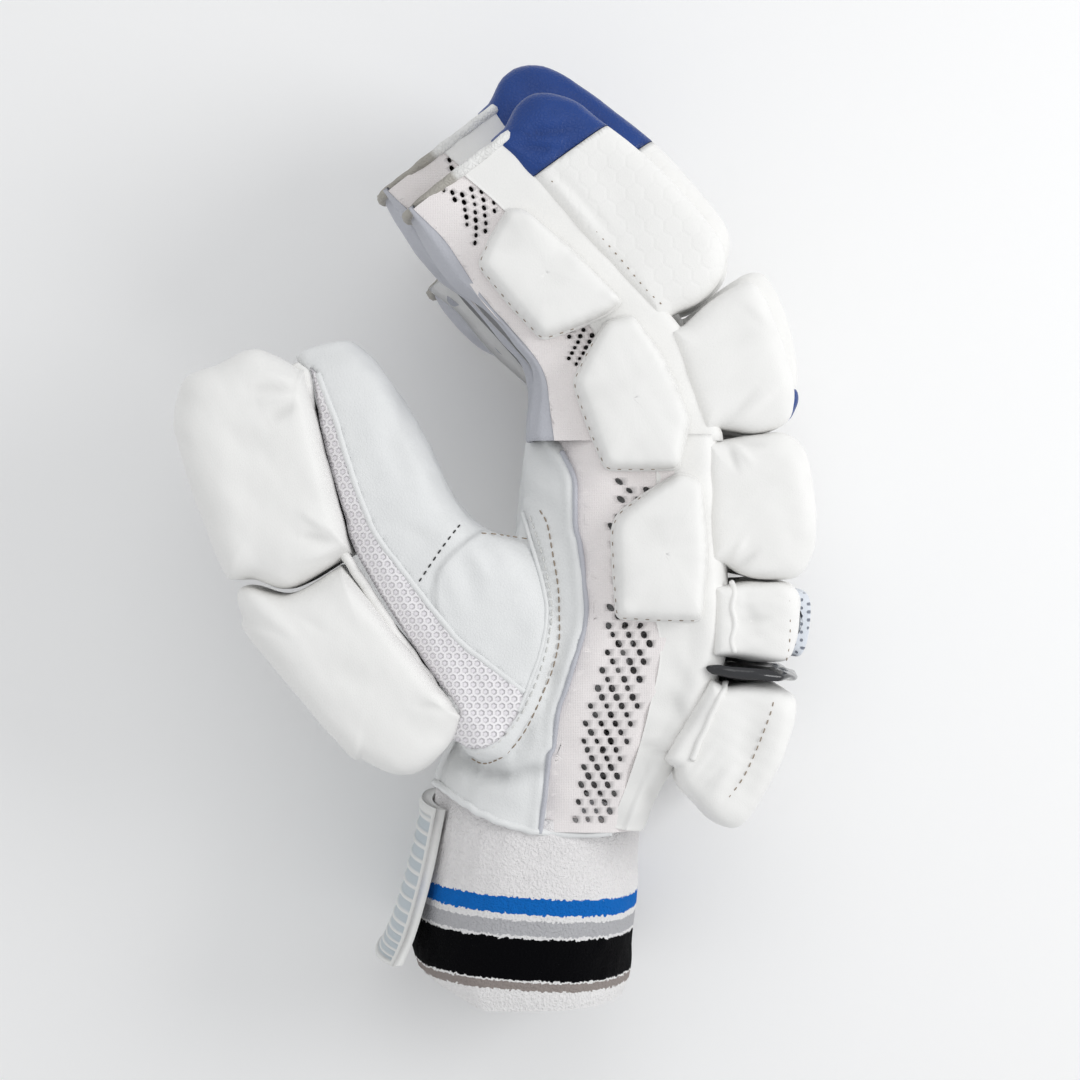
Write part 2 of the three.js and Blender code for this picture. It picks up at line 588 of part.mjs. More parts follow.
// A side pad: a domed cushion on the glove's side, from its seat out to its face
function sidePad(outline, seat, face, flattened) {
  const centre = outline.reduce((sum, p) => sum.addScaledVector(p, 1 / outline.length), new THREE.Vector2());
  const levels = flattened
    ? [{ rise: 0, keep: 1 }, { rise: 0.7, keep: 1 }, { rise: 1, keep: 0.86 }]
    : [{ rise: 0, keep: 1 }, { rise: 0.6, keep: 1 }, { rise: 0.88, keep: 0.9 }, { rise: 1, keep: 0.6 }];
  return skin(levels.map(({ rise, keep }) => outline.map((p) => {
    const place = centre.clone().lerp(p, keep);
    return new THREE.Vector3(place.x, place.y, seat + (face - seat) * rise);
  })));
}

function addSidePads() {
  for (const [name, points] of Object.entries(SIDE_PADS)) {
    const index = points.map((point) => fingerPlan(FINGERS[3], point));
    const little = points.map((point) => fingerPlan(FINGERS[0], point));
    const seat = STACK_HIGH + CLEARANCE;
    addPiece(`index_${name}`, sidePad(index, seat, seat + SIDE_PAD_THICKNESS, false), FINISHES.whiteLeather);
    addPiece(`little_${name}`, sidePad(little, SIDE_PAD_THICKNESS, 0, true), FINISHES.whiteLeather);
  }
}

function addHandPads() {
  const seat = handSolid(-CLEARANCE);
  const middle = (STACK_LOW + STACK_HIGH) / 2;
  const width = STACK_HIGH - STACK_LOW;
  for (const [name, points] of Object.entries(HAND_PADS)) {
    const placed = points.map((point) => plan(...point));
    const cushion = solidOf(pad(placed, middle, width, WIDE_CROWN, 12)).subtract(seat);
    addPiece(name, geometryOf(cushion), FINISHES.whiteLeather);
  }
  const upper = HAND_PADS.hand_pad_upper.map((point) => plan(...point));
  const cushion = solidOf(pad(upper, middle, width, WIDE_CROWN, 12));
  const halfVent = (width * VENT_SHARE) / 2;
  const vent = prism(VENT_PANEL.map((point) => plan(...point)), middle - halfVent, middle + halfVent);
  const skinSolid = vent.subtract(cushion.translate(CLEARANCE, 0, 0));
  addPiece('vent_panel', geometryOf(skinSolid), FINISHES.whiteLeather);
  const roll = solidOf(rollGeometry(middle, width)).subtract(seat);
  addPiece('piping_roll', geometryOf(roll), FINISHES.piping);
}

// The shiny roll between the two hand pads: it lies on the back of the hand from side to side
function rollGeometry(middle, width) {
  const [inner, outer] = ROLL.map((point) => plan(...point));
  const rings = [];
  const steps = 10;
  for (let step = 0; step <= steps; step += 1) {
    const side = -1 + (2 * step) / steps;
    const reach = 1 - ROLL_TAPER * side ** 6;
    const tip = inner.clone().lerp(outer, reach);
    const z = middle + side * (width / 2);
    const r = ROLL_DIAMETER / 2;
    rings.push([
      new THREE.Vector3(inner.x, inner.y - r, z), new THREE.Vector3(tip.x - r, tip.y - r, z),
      new THREE.Vector3(tip.x, tip.y, z), new THREE.Vector3(tip.x - r, tip.y + r, z),
      new THREE.Vector3(inner.x, inner.y + r, z),
    ]);
  }
  return skin(rings);
}

const cuffSections = CUFF.map((row) => ({
  palm: plan(...row.palm),
  back: plan(...row.back),
  low: CUFF_HEIGHT * (1 - row.height) * 0.5 - CUFF_WALL,
  high: CUFF_HEIGHT * (1 + row.height) * 0.5,
}));

// A point round the cuff: the section is a rounded oval, flattened where it lies on the floor
function cuffPoint(section, angle, inset) {
  const squareness = 0.82;
  const round = (value) => Math.sign(value) * Math.abs(value) ** squareness;
  const point = sectionPoint(section, 0.5 - round(Math.cos(angle)) / 2, round(Math.sin(angle)), inset);
  point.z = Math.max(point.z, Math.max(inset, 0));
  return point;
}

function addCuff() {
  const steps = 22;
  const grid = (inset) => cuffSections.map((s) => Array.from({ length: steps }, (_, i) => (
    cuffPoint(s, (i / steps) * 2 * Math.PI, inset))));
  addPiece('wrist_cuff', wall(grid(0), grid(CUFF_WALL), true), FINISHES.cuffKnit);
}

// The strap's moulded end: a curved plate round the palm side of the cuff that stands off towards the hem
function addTab() {
  const steps = 8;
  const at = (along) => {
    const place = along * (cuffSections.length - 2);
    const row = Math.floor(place);
    const [a, b] = [cuffSections[row], cuffSections[row + 1]];
    const t = place - row;
    return {
      palm: a.palm.clone().lerp(b.palm, t),
      back: a.back.clone().lerp(b.back, t),
      low: a.low + (b.low - a.low) * t,
      high: a.high + (b.high - a.high) * t,
    };
  };
  const grid = (rise) => TAB.map(({ along, standOff }) => Array.from({ length: steps + 1 }, (_, i) => {
    const angle = THREE.MathUtils.lerp(-TAB_REACH.down, TAB_REACH.up, i / steps);
    return cuffPoint(at(along), angle, -(CLEARANCE * 2 + standOff + rise));
  }));
  addPiece('wrist_tab', wall(grid(TAB_THICKNESS), grid(0)), FINISHES.rubber);
}

FINGERS.forEach(addFinger);
addHand();
addHandPads();
addSidePads();
addThumb();
addCuff();
addTab();

export default glove;
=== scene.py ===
"""A cricket batting glove for the right hand, lying on its little finger side.

+X runs from the thumb to the back of the hand, +Y from the cuff to the fingertips and +Z up from the
little finger to the index finger. Shapes are worked out in millimetres and stored in metres.
"""
import math

import bmesh
import bpy
import numpy as np
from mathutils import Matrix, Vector


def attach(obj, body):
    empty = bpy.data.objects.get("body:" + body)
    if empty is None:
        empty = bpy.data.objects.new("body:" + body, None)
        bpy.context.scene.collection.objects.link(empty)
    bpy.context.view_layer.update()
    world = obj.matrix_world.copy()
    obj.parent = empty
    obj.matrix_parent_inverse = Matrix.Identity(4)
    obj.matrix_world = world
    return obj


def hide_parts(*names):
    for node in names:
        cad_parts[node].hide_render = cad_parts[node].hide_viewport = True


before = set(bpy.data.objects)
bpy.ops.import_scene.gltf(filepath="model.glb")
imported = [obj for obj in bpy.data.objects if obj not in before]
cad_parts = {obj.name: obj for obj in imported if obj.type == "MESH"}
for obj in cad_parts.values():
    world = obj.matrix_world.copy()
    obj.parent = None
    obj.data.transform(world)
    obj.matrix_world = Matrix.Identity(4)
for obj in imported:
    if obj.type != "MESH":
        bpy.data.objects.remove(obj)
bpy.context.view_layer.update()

# Metres in a millimetre
MM = 0.001

# Driving dimensions, as in the part's source
GLOVE_DEPTH = 188.4
GLOVE_LENGTH = 286
FINGER_WIDTH = 24
FINGER_SPLIT = 1.2
SIDE_PAD_THICKNESS = 11
LEATHER = 1.8
KNIT = 2.0
CLEARANCE = 0.3
PAD_SINK = 5
WRIST_NARROWING = 13
THUMB_WIDTH = 40
THUMB_PAD_WIDTH = 50
THUMB_DROP = 20
ROLL_DIAMETER = 3.8
ROLL_TAPER = 0.25
CUFF_WALL = 3.0
CUFF_HEIGHT = 98
TAB_THICKNESS = 3.4
STACK_LOW = SIDE_PAD_THICKNESS + CLEARANCE
STACK_HIGH = STACK_LOW + 4 * FINGER_WIDTH + 3 * FINGER_SPLIT
THUMB_MIDDLE = STACK_HIGH + CLEARANCE - THUMB_DROP

# Each finger is the index finger drawn out and curled about the knuckles by its own shares. The part's
# source makes the ring and middle fingers slimmer as well, which isn't done here.
FINGERS = {
    "little": {"place": 0, "stretch": 0.86, "curl": 6},
    "ring": {"place": 1, "stretch": 1.1, "curl": -2},
    "middle": {"place": 2, "stretch": 1.135, "curl": 0},
    "index": {"place": 3, "stretch": 1, "curl": 0},
}
KNUCKLE = (72, 60.5)
KNUCKLE_BLEND = 10

# Tables in per cent of the glove's depth and length. Columns: palm side u and v, back u and v, where the
# knit begins and ends
STALL = np.array([
    (55, 60.6, 85.5, 60.6, 0.12, 0.42),
    (56.3, 66.5, 82, 65.8, 0.04, 0.45),
    (53, 70, 79.5, 71, 0.02, 0.5),
    (48.5, 73.5, 72.5, 76, 0.01, 0.55),
    (43.5, 76, 65.5, 81.5, 0.09, 0.6),
    (39.5, 79.5, 59.5, 86, 0.11, 0.62),
    (36.5, 83, 52.5, 91, 0.03, 0.55),
])
# Columns: palm side u and v, back u and v, lift, narrowing, where the knit begins and ends
HAND = np.array([
    (55, 60.4, 85.5, 60.4, 1, 0, 0.16, 0.42),
    (54, 55, 86, 53.5, 1, 0, 0.27, 0.52),
    (53, 48.5, 86.5, 46, 1, 0, 0.32, 0.6),
    (51, 41, 86.5, 38.5, 1, 0.05, 0.36, 0.73),
    (47.5, 33, 83, 31.5, 0.4, 0.3, 0.38, 0.78),
    (43, 27.5, 77, 24.5, 0, 0.7, 0.46, 0.86),
    (40.3, 22.8, 73.5, 19, 0, 1, 0.5, 0.87),
])
# Columns: pad edge u and v, palm side u and v, share of the thumb's width
THUMB = np.array([
    (51.5, 26.5, 59, 35, 0.9),
    (45.5, 27.5, 61, 42.5, 1),
    (40, 36, 55.5, 48.5, 1),
    (32, 44.5, 47.5, 51, 1),
    (27, 51.5, 43, 54.5, 1),
    (24, 59, 38.5, 60.5, 0.97),
    (20.5, 66, 32.5, 67, 0.84),
    (18, 69, 27, 70.5, 0.5),
])
# Columns: palm side u and v, back u and v, share of the cuff's height
CUFF = np.array([
    (40, 22.5, 73.8, 18.7, 1),
    (38, 14.5, 73.5, 12, 1),
    (36.2, 7, 72.6, 6, 0.99),
    (35.6, 2.6, 72, 2, 0.98),
    (36.6, 0.3, 71.2, 0.2, 0.95),
])

# Outlines of the pads on a finger's back, each from its fingertip end round to its wrist end
BACK_PADS = {
    "tip": [(52, 91.8), (54, 94.2), (57, 95.3), (62, 94.7), (66, 92.8), (71.5, 90), (77, 86.7),
            (83.5, 82), (85.7, 79.3), (85, 76.6), (82, 74.4), (78, 73.2)],
    "middle": [(80.3, 71.5), (85, 74), (89.5, 75.6), (92, 74.3), (94.3, 70), (96, 66.5), (96.4, 64),
               (95.2, 62), (91, 61), (85.6, 61.4)],
    "knuckle": [(85.9, 59.6), (90, 60), (95, 60.3), (98, 59), (99.3, 56), (99.9, 52), (99.6, 48.6),
                (97.5, 46.2), (93, 45.8), (89, 46.3), (86.4, 47.2)],
}
BLUE_CAP_SEAM = [(57, 87.1), (65.9, 91.3)]
LONG_CAP_SEAM = [(62.2, 82.4), (71.1, 86.5)]
BLUE_BAND = [(80, 65), (91, 65.5), (96.6, 65.6), (98.2, 64.8), (98.5, 63.4), (97.4, 61.9), (93, 61),
             (82, 61.2)]
HAND_PADS = {
    "hand_pad_upper": [(86.8, 44.9), (92, 45.1), (96.2, 44.8), (97.8, 43.4), (97.5, 41), (96.8, 38.4),
                       (95.4, 37.2), (91, 37.3), (86.8, 37.6)],
    "hand_pad_lower": [(86.2, 34.4), (91, 34.6), (95.2, 34), (97.3, 32.3), (95.8, 28.2), (93.5, 25),
                       (91, 22), (88.3, 20.1), (85.2, 20.2), (82, 22), (79.2, 24.3), (78.8, 26)],
}
VENT_PANEL = [(97.2, 44.4), (99.2, 44.2), (99.9, 42.6), (99.4, 39.2), (98.2, 37.4), (96.4, 37.8),
              (97.7, 39.6), (98.1, 43)]
ROLL = [(83, 36.2), (98.4, 35.3)]
SIDE_PADS = {
    "side_pad_tip": [(52.5, 83.2), (50, 80.5), (48, 77.6), (52.5, 74), (57.5, 70.3), (62.5, 71.4),
                     (67.2, 72.7), (69.6, 74), (62.5, 78.6), (55, 83)],
    "side_pad_middle": [(67.5, 71.6), (65, 68.8), (62.7, 65.6), (65, 61.3), (67.5, 57), (73, 57),
                        (78.5, 57), (80, 62), (76, 68), (71.5, 72.3)],
    "side_pad_knuckle": [(78.8, 56.2), (74, 54.2), (69.5, 52), (68.7, 50.5), (69, 46), (69.3, 41.8),
                         (75.5, 41.6), (82, 41.5), (82.8, 48), (82, 55.5)],
}
THUMB_PADS = {
    "thumb_pad_upper": [(27, 48.2), (19.5, 67), (15, 68.5), (11.5, 69), (6.5, 67.5), (1.5, 66), (0, 62),
                        (0.5, 59.5), (3.5, 53.5), (7.5, 46.5), (9, 45.7), (12, 45.7), (18, 44.8)],
    "thumb_pad_lower": [(44.5, 31), (25.5, 46.2), (18, 43.5), (11.5, 44.4), (10, 43.4), (11, 41.2),
                        (12.5, 39), (26, 28.5), (29, 27.3), (32, 26.2), (35, 25.6), (38, 26), (41.5, 28)],
}

# Lines that the photograph shows, as pixels of its frame of 1080 by 1080, and the level at which they lie
GUSSET_LEVEL = 105
THUMB_LEVEL = 106
PAD_LEVEL = 113
HEM_LEVEL = 99
KNIT_SEAM = [(548, 424), (562, 452), (574, 480), (575, 524), (580, 547), (585, 595), (585, 622), (577, 652),
             (566, 687), (557, 715), (554, 746), (549, 757), (547, 780), (540, 835)]
KNIT_END = [(700, 424), (700, 600), (690, 629), (686, 644), (678, 676), (665, 713), (654, 742), (645, 778),
            (640, 803), (632, 835)]
PATCH = [(479, 533), (495, 534), (522, 512), (535, 556), (545, 595), (546, 618), (541, 648), (529, 683),
         (518, 710), (480, 680), (440, 620), (440, 570)]
PATCH_STITCHES = [
    [(529, 515), (536, 535), (544, 562), (549, 587), (552, 612), (550, 631), (546, 652), (535, 685),
    (518, 719),
     (502, 738), (487, 750), (472, 754)],
    [(539, 509), (547, 524), (553, 556), (558, 587), (559, 612), (559, 639), (553, 667), (544, 690),
    (527, 727),
     (510, 750), (493, 762), (481, 765), (470, 761)],
]
FLAP_SEAM = [(479, 533), (495, 534), (529, 539)]
CROSS_SEAM = [(461, 524), (447, 542), (433, 562), (419, 583)]
MESH_LEFT = [(309, 366), (314, 383), (319, 418), (327, 455), (344, 514), (352, 544), (374, 585), (405, 634),
             (432, 674), (459, 711)]
MESH_RIGHT = [(318, 374), (323, 387), (335, 416), (352, 471), (366, 510), (378, 536), (415, 585),
              (458, 638),
              (490, 664), (524, 691)]
MESH_FOOT = [(444, 734), (465, 749), (485, 748), (506, 732), (524, 691)]
THUMB_EDGE = [(296, 366), (306, 376), (309, 395), (311, 422), (318, 465), (331, 515),
              (340, 546), (362, 582), (392, 628), (422, 670), (450, 708)]
HEM = [(405, 776), (432, 787), (460, 803), (485, 816), (510, 825), (535, 831), (575, 835), (612, 834),
       (655, 829)]


# Camera and light, first, because the camera fixes what the photograph's frame shows

CAMERA_PLACE = (0.0135, -0.0013, 0.861)
FRAME_WIDTH = 0.3375
FRAME_HEIGHT_ABOVE_FLOOR = 0.061
FRAME_PIXELS = 1080
SENSOR = 36
SKY_COLOUR = (0.98, 0.99, 1, 1)
SKY_STRENGTH = 0.69
KEY_PLACE, KEY_POWER = (0.75, 0.15, 0.65), 2.9
TOP_PLACE, TOP_POWER = (0.0, 0.45, 0.9), 0.7
LIGHT_TARGET = (0, 0, 0.05)
LIGHT_SIZE = 0.5


def add_camera():
    """Looks straight down with +Y up; the lens makes the frame FRAME_WIDTH wide at the glove's middle."""
    data = bpy.data.cameras.new("camera")
    data.sensor_width = SENSOR
    data.lens = SENSOR * (CAMERA_PLACE[2] - FRAME_HEIGHT_ABOVE_FLOOR) / FRAME_WIDTH
    data.clip_start = 0.01
    camera = bpy.data.objects.new("camera", data)
    camera.location = CAMERA_PLACE
    bpy.context.collection.objects.link(camera)
    bpy.context.scene.camera = camera


def add_area_light(name, place, power):
    data = bpy.data.lights.new(name, "AREA")
    data.shape = "DISK"
    data.size = LIGHT_SIZE
    data.energy = power
    light = bpy.data.objects.new(name, data)
    light.location = place
    light.rotation_euler = (Vector(LIGHT_TARGET) - Vector(place)).to_track_quat("-Z", "Y").to_euler()
    bpy.context.collection.objects.link(light)


def add_studio():
    """Even white light from all round, with a broad key from the right that greys the left faces."""
    scene = bpy.context.scene
    scene.view_settings.view_transform = "Standard"
    world = bpy.data.worlds.new("studio")
    world.use_nodes = True
    world.node_tree.nodes["Background"].inputs["Color"].default_value = SKY_COLOUR
    world.node_tree.nodes["Background"].inputs["Strength"].default_value = SKY_STRENGTH
    scene.world = world
    add_area_light("key", KEY_PLACE, KEY_POWER)
    add_area_light("top", TOP_PLACE, TOP_POWER)


# Arrays, curves and fields

def seen(points, level):
    """Points of the plan in millimetres at a level above the floor, from where they are in the camera's frame
    of 1080 by 1080: the frame's scale shrinks with the distance to the camera."""
    distance = CAMERA_PLACE[2] / MM - np.asarray(level, float)
    full = (CAMERA_PLACE[2] - FRAME_HEIGHT_ABOVE_FLOOR) / MM
    scale = (FRAME_WIDTH / MM / FRAME_PIXELS * distance / full)[..., None]
    centre = np.array([CAMERA_PLACE[0], CAMERA_PLACE[1]]) / MM
    return centre + (np.asarray(points, float) - FRAME_PIXELS / 2) * (1, -1) * scale


def seen_table(table, level):
    """A table of folds whose first four columns are in the frame's pixels, with those in millimetres."""
    table = np.asarray(table, float)
    return np.column_stack([seen(table[:, 0:2], level), seen(table[:, 2:4], level), table[:, 4:]])


def smoothstep(low, high, x):
    """0 below low, 1 above high, and 3t squared minus 2t cubed between them."""
    t = np.clip((x - low) / (high - low), 0, 1)
    return t * t * (3 - 2 * t)


def plan(points):
    """Points of the plan in millimetres, from per cent of the glove's depth and length."""
    return (np.asarray(points, float) / 100 - 0.5) * (GLOVE_DEPTH, GLOVE_LENGTH)


def turn(vectors, angle):
    """Plane vectors turned by an angle, which may differ from one to the next."""
    x, y = vectors[..., 0], vectors[..., 1]
    return np.stack([np.cos(angle) * x - np.sin(angle) * y, np.sin(angle) * x + np.cos(angle) * y], -1)


def finger_plan(finger, shares):
    """The index finger's plan, stretched and curled about the knuckles by the finger's own shares."""
    shares = np.asarray(shares, float)
    share = smoothstep(KNUCKLE[1], KNUCKLE[1] + KNUCKLE_BLEND, shares[..., 1])
    stretch = 1 + (finger["stretch"] - 1) * share
    run = (plan(shares) - plan(KNUCKLE)) * stretch[..., None]
    return plan(KNUCKLE) + turn(run, np.radians(finger["curl"]) * share)


def finger_middle(finger):
    return STACK_LOW + FINGER_WIDTH / 2 + finger["place"] * (FINGER_WIDTH + FINGER_SPLIT)


def spline(points, count, closed=False):
    """A Catmull-Rom curve: each span blends its four nearest points by cubic weights."""
    points = np.asarray(points, float)
    size = len(points)
    spans = size if closed else size - 1
    t = np.linspace(0, spans, count, endpoint=not closed)
    span = np.minimum(t.astype(int), spans - 1)
    f = (t - span).reshape((-1,) + (1,) * (points.ndim - 1))
    if closed:
        a, b, c, d = (points[(span + step) % size] for step in (-1, 0, 1, 2))
    else:
        ends = np.concatenate([[2 * points[0] - points[1]], points, [2 * points[-1] - points[-2]]])
        a, b, c, d = (ends[span + step] for step in (0, 1, 2, 3))
    curve = 2 * b + (c - a) * f + (2 * a - 5 * b + 4 * c - d) * f ** 2 + (3 * b - a - 3 * c + d) * f ** 3
    return curve / 2


def evenly(points, count, closed=False):
    """The same curve at points that are equally far apart along it."""
    points = np.asarray(points, float)
    path = np.concatenate([points, points[:1]]) if closed else points
    run = np.concatenate([[0], np.cumsum(np.linalg.norm(np.diff(path, axis=0), axis=1))])
    t = np.linspace(0, run[-1], count, endpoint=not closed)
    return np.stack([np.interp(t, run, path[:, axis]) for axis in range(path.shape[1])], -1)


def wander(points, length, seed):
    """Smooth noise from -1 to 1: the mean of eight sine waves in seeded directions, about a length long."""
    rng = np.random.default_rng(seed)
    points = np.asarray(points, float)
    total = 0
    for _ in range(8):
        way = rng.normal(size=points.shape[-1])
        way *= 2 * math.pi * rng.uniform(0.6, 1.5) / length / np.linalg.norm(way)
        total = total + np.sin(points @ way + rng.uniform(0, 2 * math.pi))
    return total / 4


def to_segment(points, start, end):
    """How far each point of the plan is from a segment, and its share along it."""
    start, end = np.asarray(start, float), np.asarray(end, float)
    way = end - start
    share = np.clip((points - start) @ way / (way @ way), 0, 1)
    return np.linalg.norm(points - start - share[..., None] * way, axis=-1), share


def to_path(points, path):
    """How far each point of the plan is from a path, its share along it, and the side it is on: 1 to the
    left of the nearest stretch and -1 to its right."""
    best = np.full(points.shape[:-1], 1e9)
    share = np.zeros(points.shape[:-1])
    side = np.ones(points.shape[:-1])
    for step, (start, end) in enumerate(zip(path[:-1], path[1:])):
        distance, part = to_segment(points, start, end)
        way = end - start
        cross = way[0] * (points[..., 1] - start[1]) - way[1] * (points[..., 0] - start[0])
        nearer = distance < best
        best = np.where(nearer, distance, best)
        share = np.where(nearer, (step + part) / (len(path) - 1), share)
        side = np.where(nearer, np.where(cross > 0, 1, -1), side)
    return best, share, side


def fold_field(points, table):
    """The height of folds over points of the plan: each row is a ridge or, where it is negative, a groove
    from one point to another, a bell curve across and fading to nothing at both ends."""
    total = np.zeros(points.shape[:-1])
    for x1, y1, x2, y2, width, height in table:
        distance, share = to_segment(points, (x1, y1), (x2, y2))
        fade = np.sin(math.pi * np.clip(share, 0.04, 0.96)) ** 0.6
        total += height * np.exp(-(distance / width) ** 2) * fade
    return total


def inside(points, polygon):
    """Which points of the plan lie inside a closed polygon: those left of an odd number of its sides."""
    x, y = points[..., 0], points[..., 1]
    odd = np.zeros(x.shape, bool)
    for (x1, y1), (x2, y2) in zip(polygon, np.roll(polygon, -1, axis=0)):
        if y1 == y2:
            continue
        crosses = (y1 > y) != (y2 > y)
        odd ^= crosses & (x < (x2 - x1) * (y - y1) / (y2 - y1) + x1)
    return odd


def grid_normals(grid, ringed=False):
    """Unit normals of a grid of points, from its steps along the rows and the columns."""
    along = np.gradient(grid, axis=0)
    if ringed:
        across = (np.roll(grid, -1, axis=1) - np.roll(grid, 1, axis=1)) / 2
    else:
        across = np.gradient(grid, axis=1)
    normal = np.cross(across, along)
    return normal / np.maximum(np.linalg.norm(normal, axis=-1, keepdims=True), 1e-9)


def outward_normals(grid, ringed=False):
    """Unit normals of a grid, pointing away from its middle."""
    normal = grid_normals(grid, ringed)
    outward = ((grid - grid.mean(axis=(0, 1))) * normal).sum() >= 0
    return normal if outward else -normal


# Meshes

def grid_faces(rows, columns, ringed=False, start=0):
    """Quads between neighbouring rows and columns of a grid whose points are numbered from start."""
    spans = columns if ringed else columns - 1
    row, column = np.meshgrid(np.arange(rows - 1), np.arange(spans), indexing="ij")
    after = (column + 1) % columns
    corners = [row * columns + column, row * columns + after, (row + 1) * columns + after,
               (row + 1) * columns + column]
    return np.stack([corner.ravel() for corner in corners], -1) + start


def add_mesh(name, points, faces, material, attributes=None, lowest=0.0):
    """A mesh object at the origin, from points in millimetres, of which none lies under the lowest level,
    and faces as rows of point numbers."""
    points = np.array(points, float)
    points[:, 2] = np.maximum(points[:, 2], lowest)
    mesh = bpy.data.meshes.new(f"{name}_look")
    mesh.from_pydata((points * MM).tolist(), [], faces)
    mesh.polygons.foreach_set("use_smooth", np.ones(len(mesh.polygons), bool))
    for key, values in (attributes or {}).items():
        layer = mesh.attributes.new(key, "FLOAT", "POINT")
        layer.data.foreach_set("value", np.ravel(values).astype(np.float32))
    mesh.update()
    mesh.materials.append(material)
    piece = bpy.data.objects.new(f"{name}_look", mesh)
    bpy.context.collection.objects.link(piece)
    return piece


def faces_outward(points, faces):
    """The faces, turned over if the volume that they enclose comes out negative."""
    points = np.asarray(points)
    volume = 0.0
    for size in {len(face) for face in faces}:
        corner = np.array([face for face in faces if len(face) == size])
        first = points[corner[:, 0]]
        for k in range(1, size - 1):
            second, third = points[corner[:, k]], points[corner[:, k + 1]]
            volume += np.einsum("ij,ij->i", first, np.cross(second, third)).sum()
    return faces if volume > 0 else [face[::-1] for face in faces]


def closed_form(rings):
    """Points and faces of a form skinned over rings, with a fan to a middle point at each end."""
    count, around = rings.shape[:2]
    points = np.concatenate([rings.reshape(-1, 3), [rings[0].mean(0)], [rings[-1].mean(0)]])
    faces = grid_faces(count, around, ringed=True).tolist()
    ring = np.arange(around)
    after = (ring + 1) % around
    last = (count - 1) * around
    faces += np.stack([after, ring, np.full(around, count * around)], -1).tolist()
    faces += np.stack([last + ring, last + after, np.full(around, count * around + 1)], -1).tolist()
    return points, faces_outward(points, faces)


def wall_form(outer, inner, ringed=False):
    """Points and faces of a wall between two grids, closed along its edges."""
    rows, columns = outer.shape[:2]
    size = rows * columns
    points = np.concatenate([outer.reshape(-1, 3), inner.reshape(-1, 3)])
    faces = [grid_faces(rows, columns, ringed), grid_faces(rows, columns, ringed, size)[:, ::-1]]
    numbers = np.arange(size).reshape(rows, columns)
    if ringed:
        numbers = np.concatenate([numbers, numbers[:, :1]], axis=1)
    edges = [numbers[0, ::-1], numbers[-1]]
    if not ringed:
        edges += [numbers[:, 0], numbers[::-1, -1]]
    for edge in edges:
        faces.append(np.stack([edge[1:], edge[:-1], edge[:-1] + size, edge[1:] + size], -1))
    return points, faces_outward(points, np.concatenate(faces).tolist())


def finish_piece(piece, slot, *nodes):
    """Makes a piece ride on the glove and hides the CAD nodes that it stands for; its slot is not used."""
    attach(piece, "root")
    if nodes:
        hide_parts(*nodes)
    return piece


# Materials

def node_tree(name):
    """A new material, its node tree and its shader."""
    material = bpy.data.materials.new(name)
    material.use_nodes = True
    return material, material.node_tree, material.node_tree.nodes["Principled BSDF"]


def object_place(tree):
    return tree.nodes.new("ShaderNodeTexCoord").outputs["Object"]


def attribute(tree, name):
    """A piece's own attribute of that name, a number at each point."""
    node = tree.nodes.new("ShaderNodeAttribute")
    node.attribute_name = name
    return node.outputs["Fac"]


def link(tree, source, target):
    tree.links.new(source, target)


def math_node(tree, operation, first, second=None):
    node = tree.nodes.new("ShaderNodeMath")
    node.operation = operation
    for socket, value in zip(node.inputs, (first, second)):
        if value is None:
            continue
        if isinstance(value, (int, float)):
            socket.default_value = value
        else:
            link(tree, value, socket)
    return node.outputs[0]


def new_group(name, inputs, outputs):
    """An empty node group with named inputs and outputs, and its two end nodes."""
    group = bpy.data.node_groups.new(name, "ShaderNodeTree")
    for label, kind, value in inputs:
        socket = group.interface.new_socket(label, in_out="INPUT", socket_type=kind)
        if value is not None:
            socket.default_value = value
    for label, kind in outputs:
        group.interface.new_socket(label, in_out="OUTPUT", socket_type=kind)
    return group, group.nodes.new("NodeGroupInput"), group.nodes.new("NodeGroupOutput")


def noise_node(tree, vector, scale, detail=3.0, roughness=0.5):
    node = tree.nodes.new("ShaderNodeTexNoise")
    node.inputs["Scale"].default_value = scale
    node.inputs["Detail"].default_value = detail
    node.inputs["Roughness"].default_value = roughness
    link(tree, vector, node.inputs["Vector"])
    return node


def ramp_node(tree, factor, stops, interpolation="LINEAR"):
    node = tree.nodes.new("ShaderNodeValToRGB")
    node.color_ramp.interpolation = interpolation
    ramp = node.color_ramp.elements
    while len(ramp) < len(stops):
        ramp.new(0.5)
    for element, (place, colour) in zip(ramp, stops):
        element.position = place
        element.color = (*colour, 1)
    link(tree, factor, node.inputs["Fac"])
    return node


def mix_colour(tree, factor, first, second, blend="MIX"):
    node = tree.nodes.new("ShaderNodeMix")
    node.data_type = "RGBA"
    node.blend_type = blend
    for socket, value in ((node.inputs[0], factor), (node.inputs[6], first), (node.inputs[7], second)):
        if isinstance(value, (int, float)):
            socket.default_value = value
        elif isinstance(value, tuple):
            socket.default_value = (*value, 1)
        else:
            link(tree, value, socket)
    return node.outputs[2]


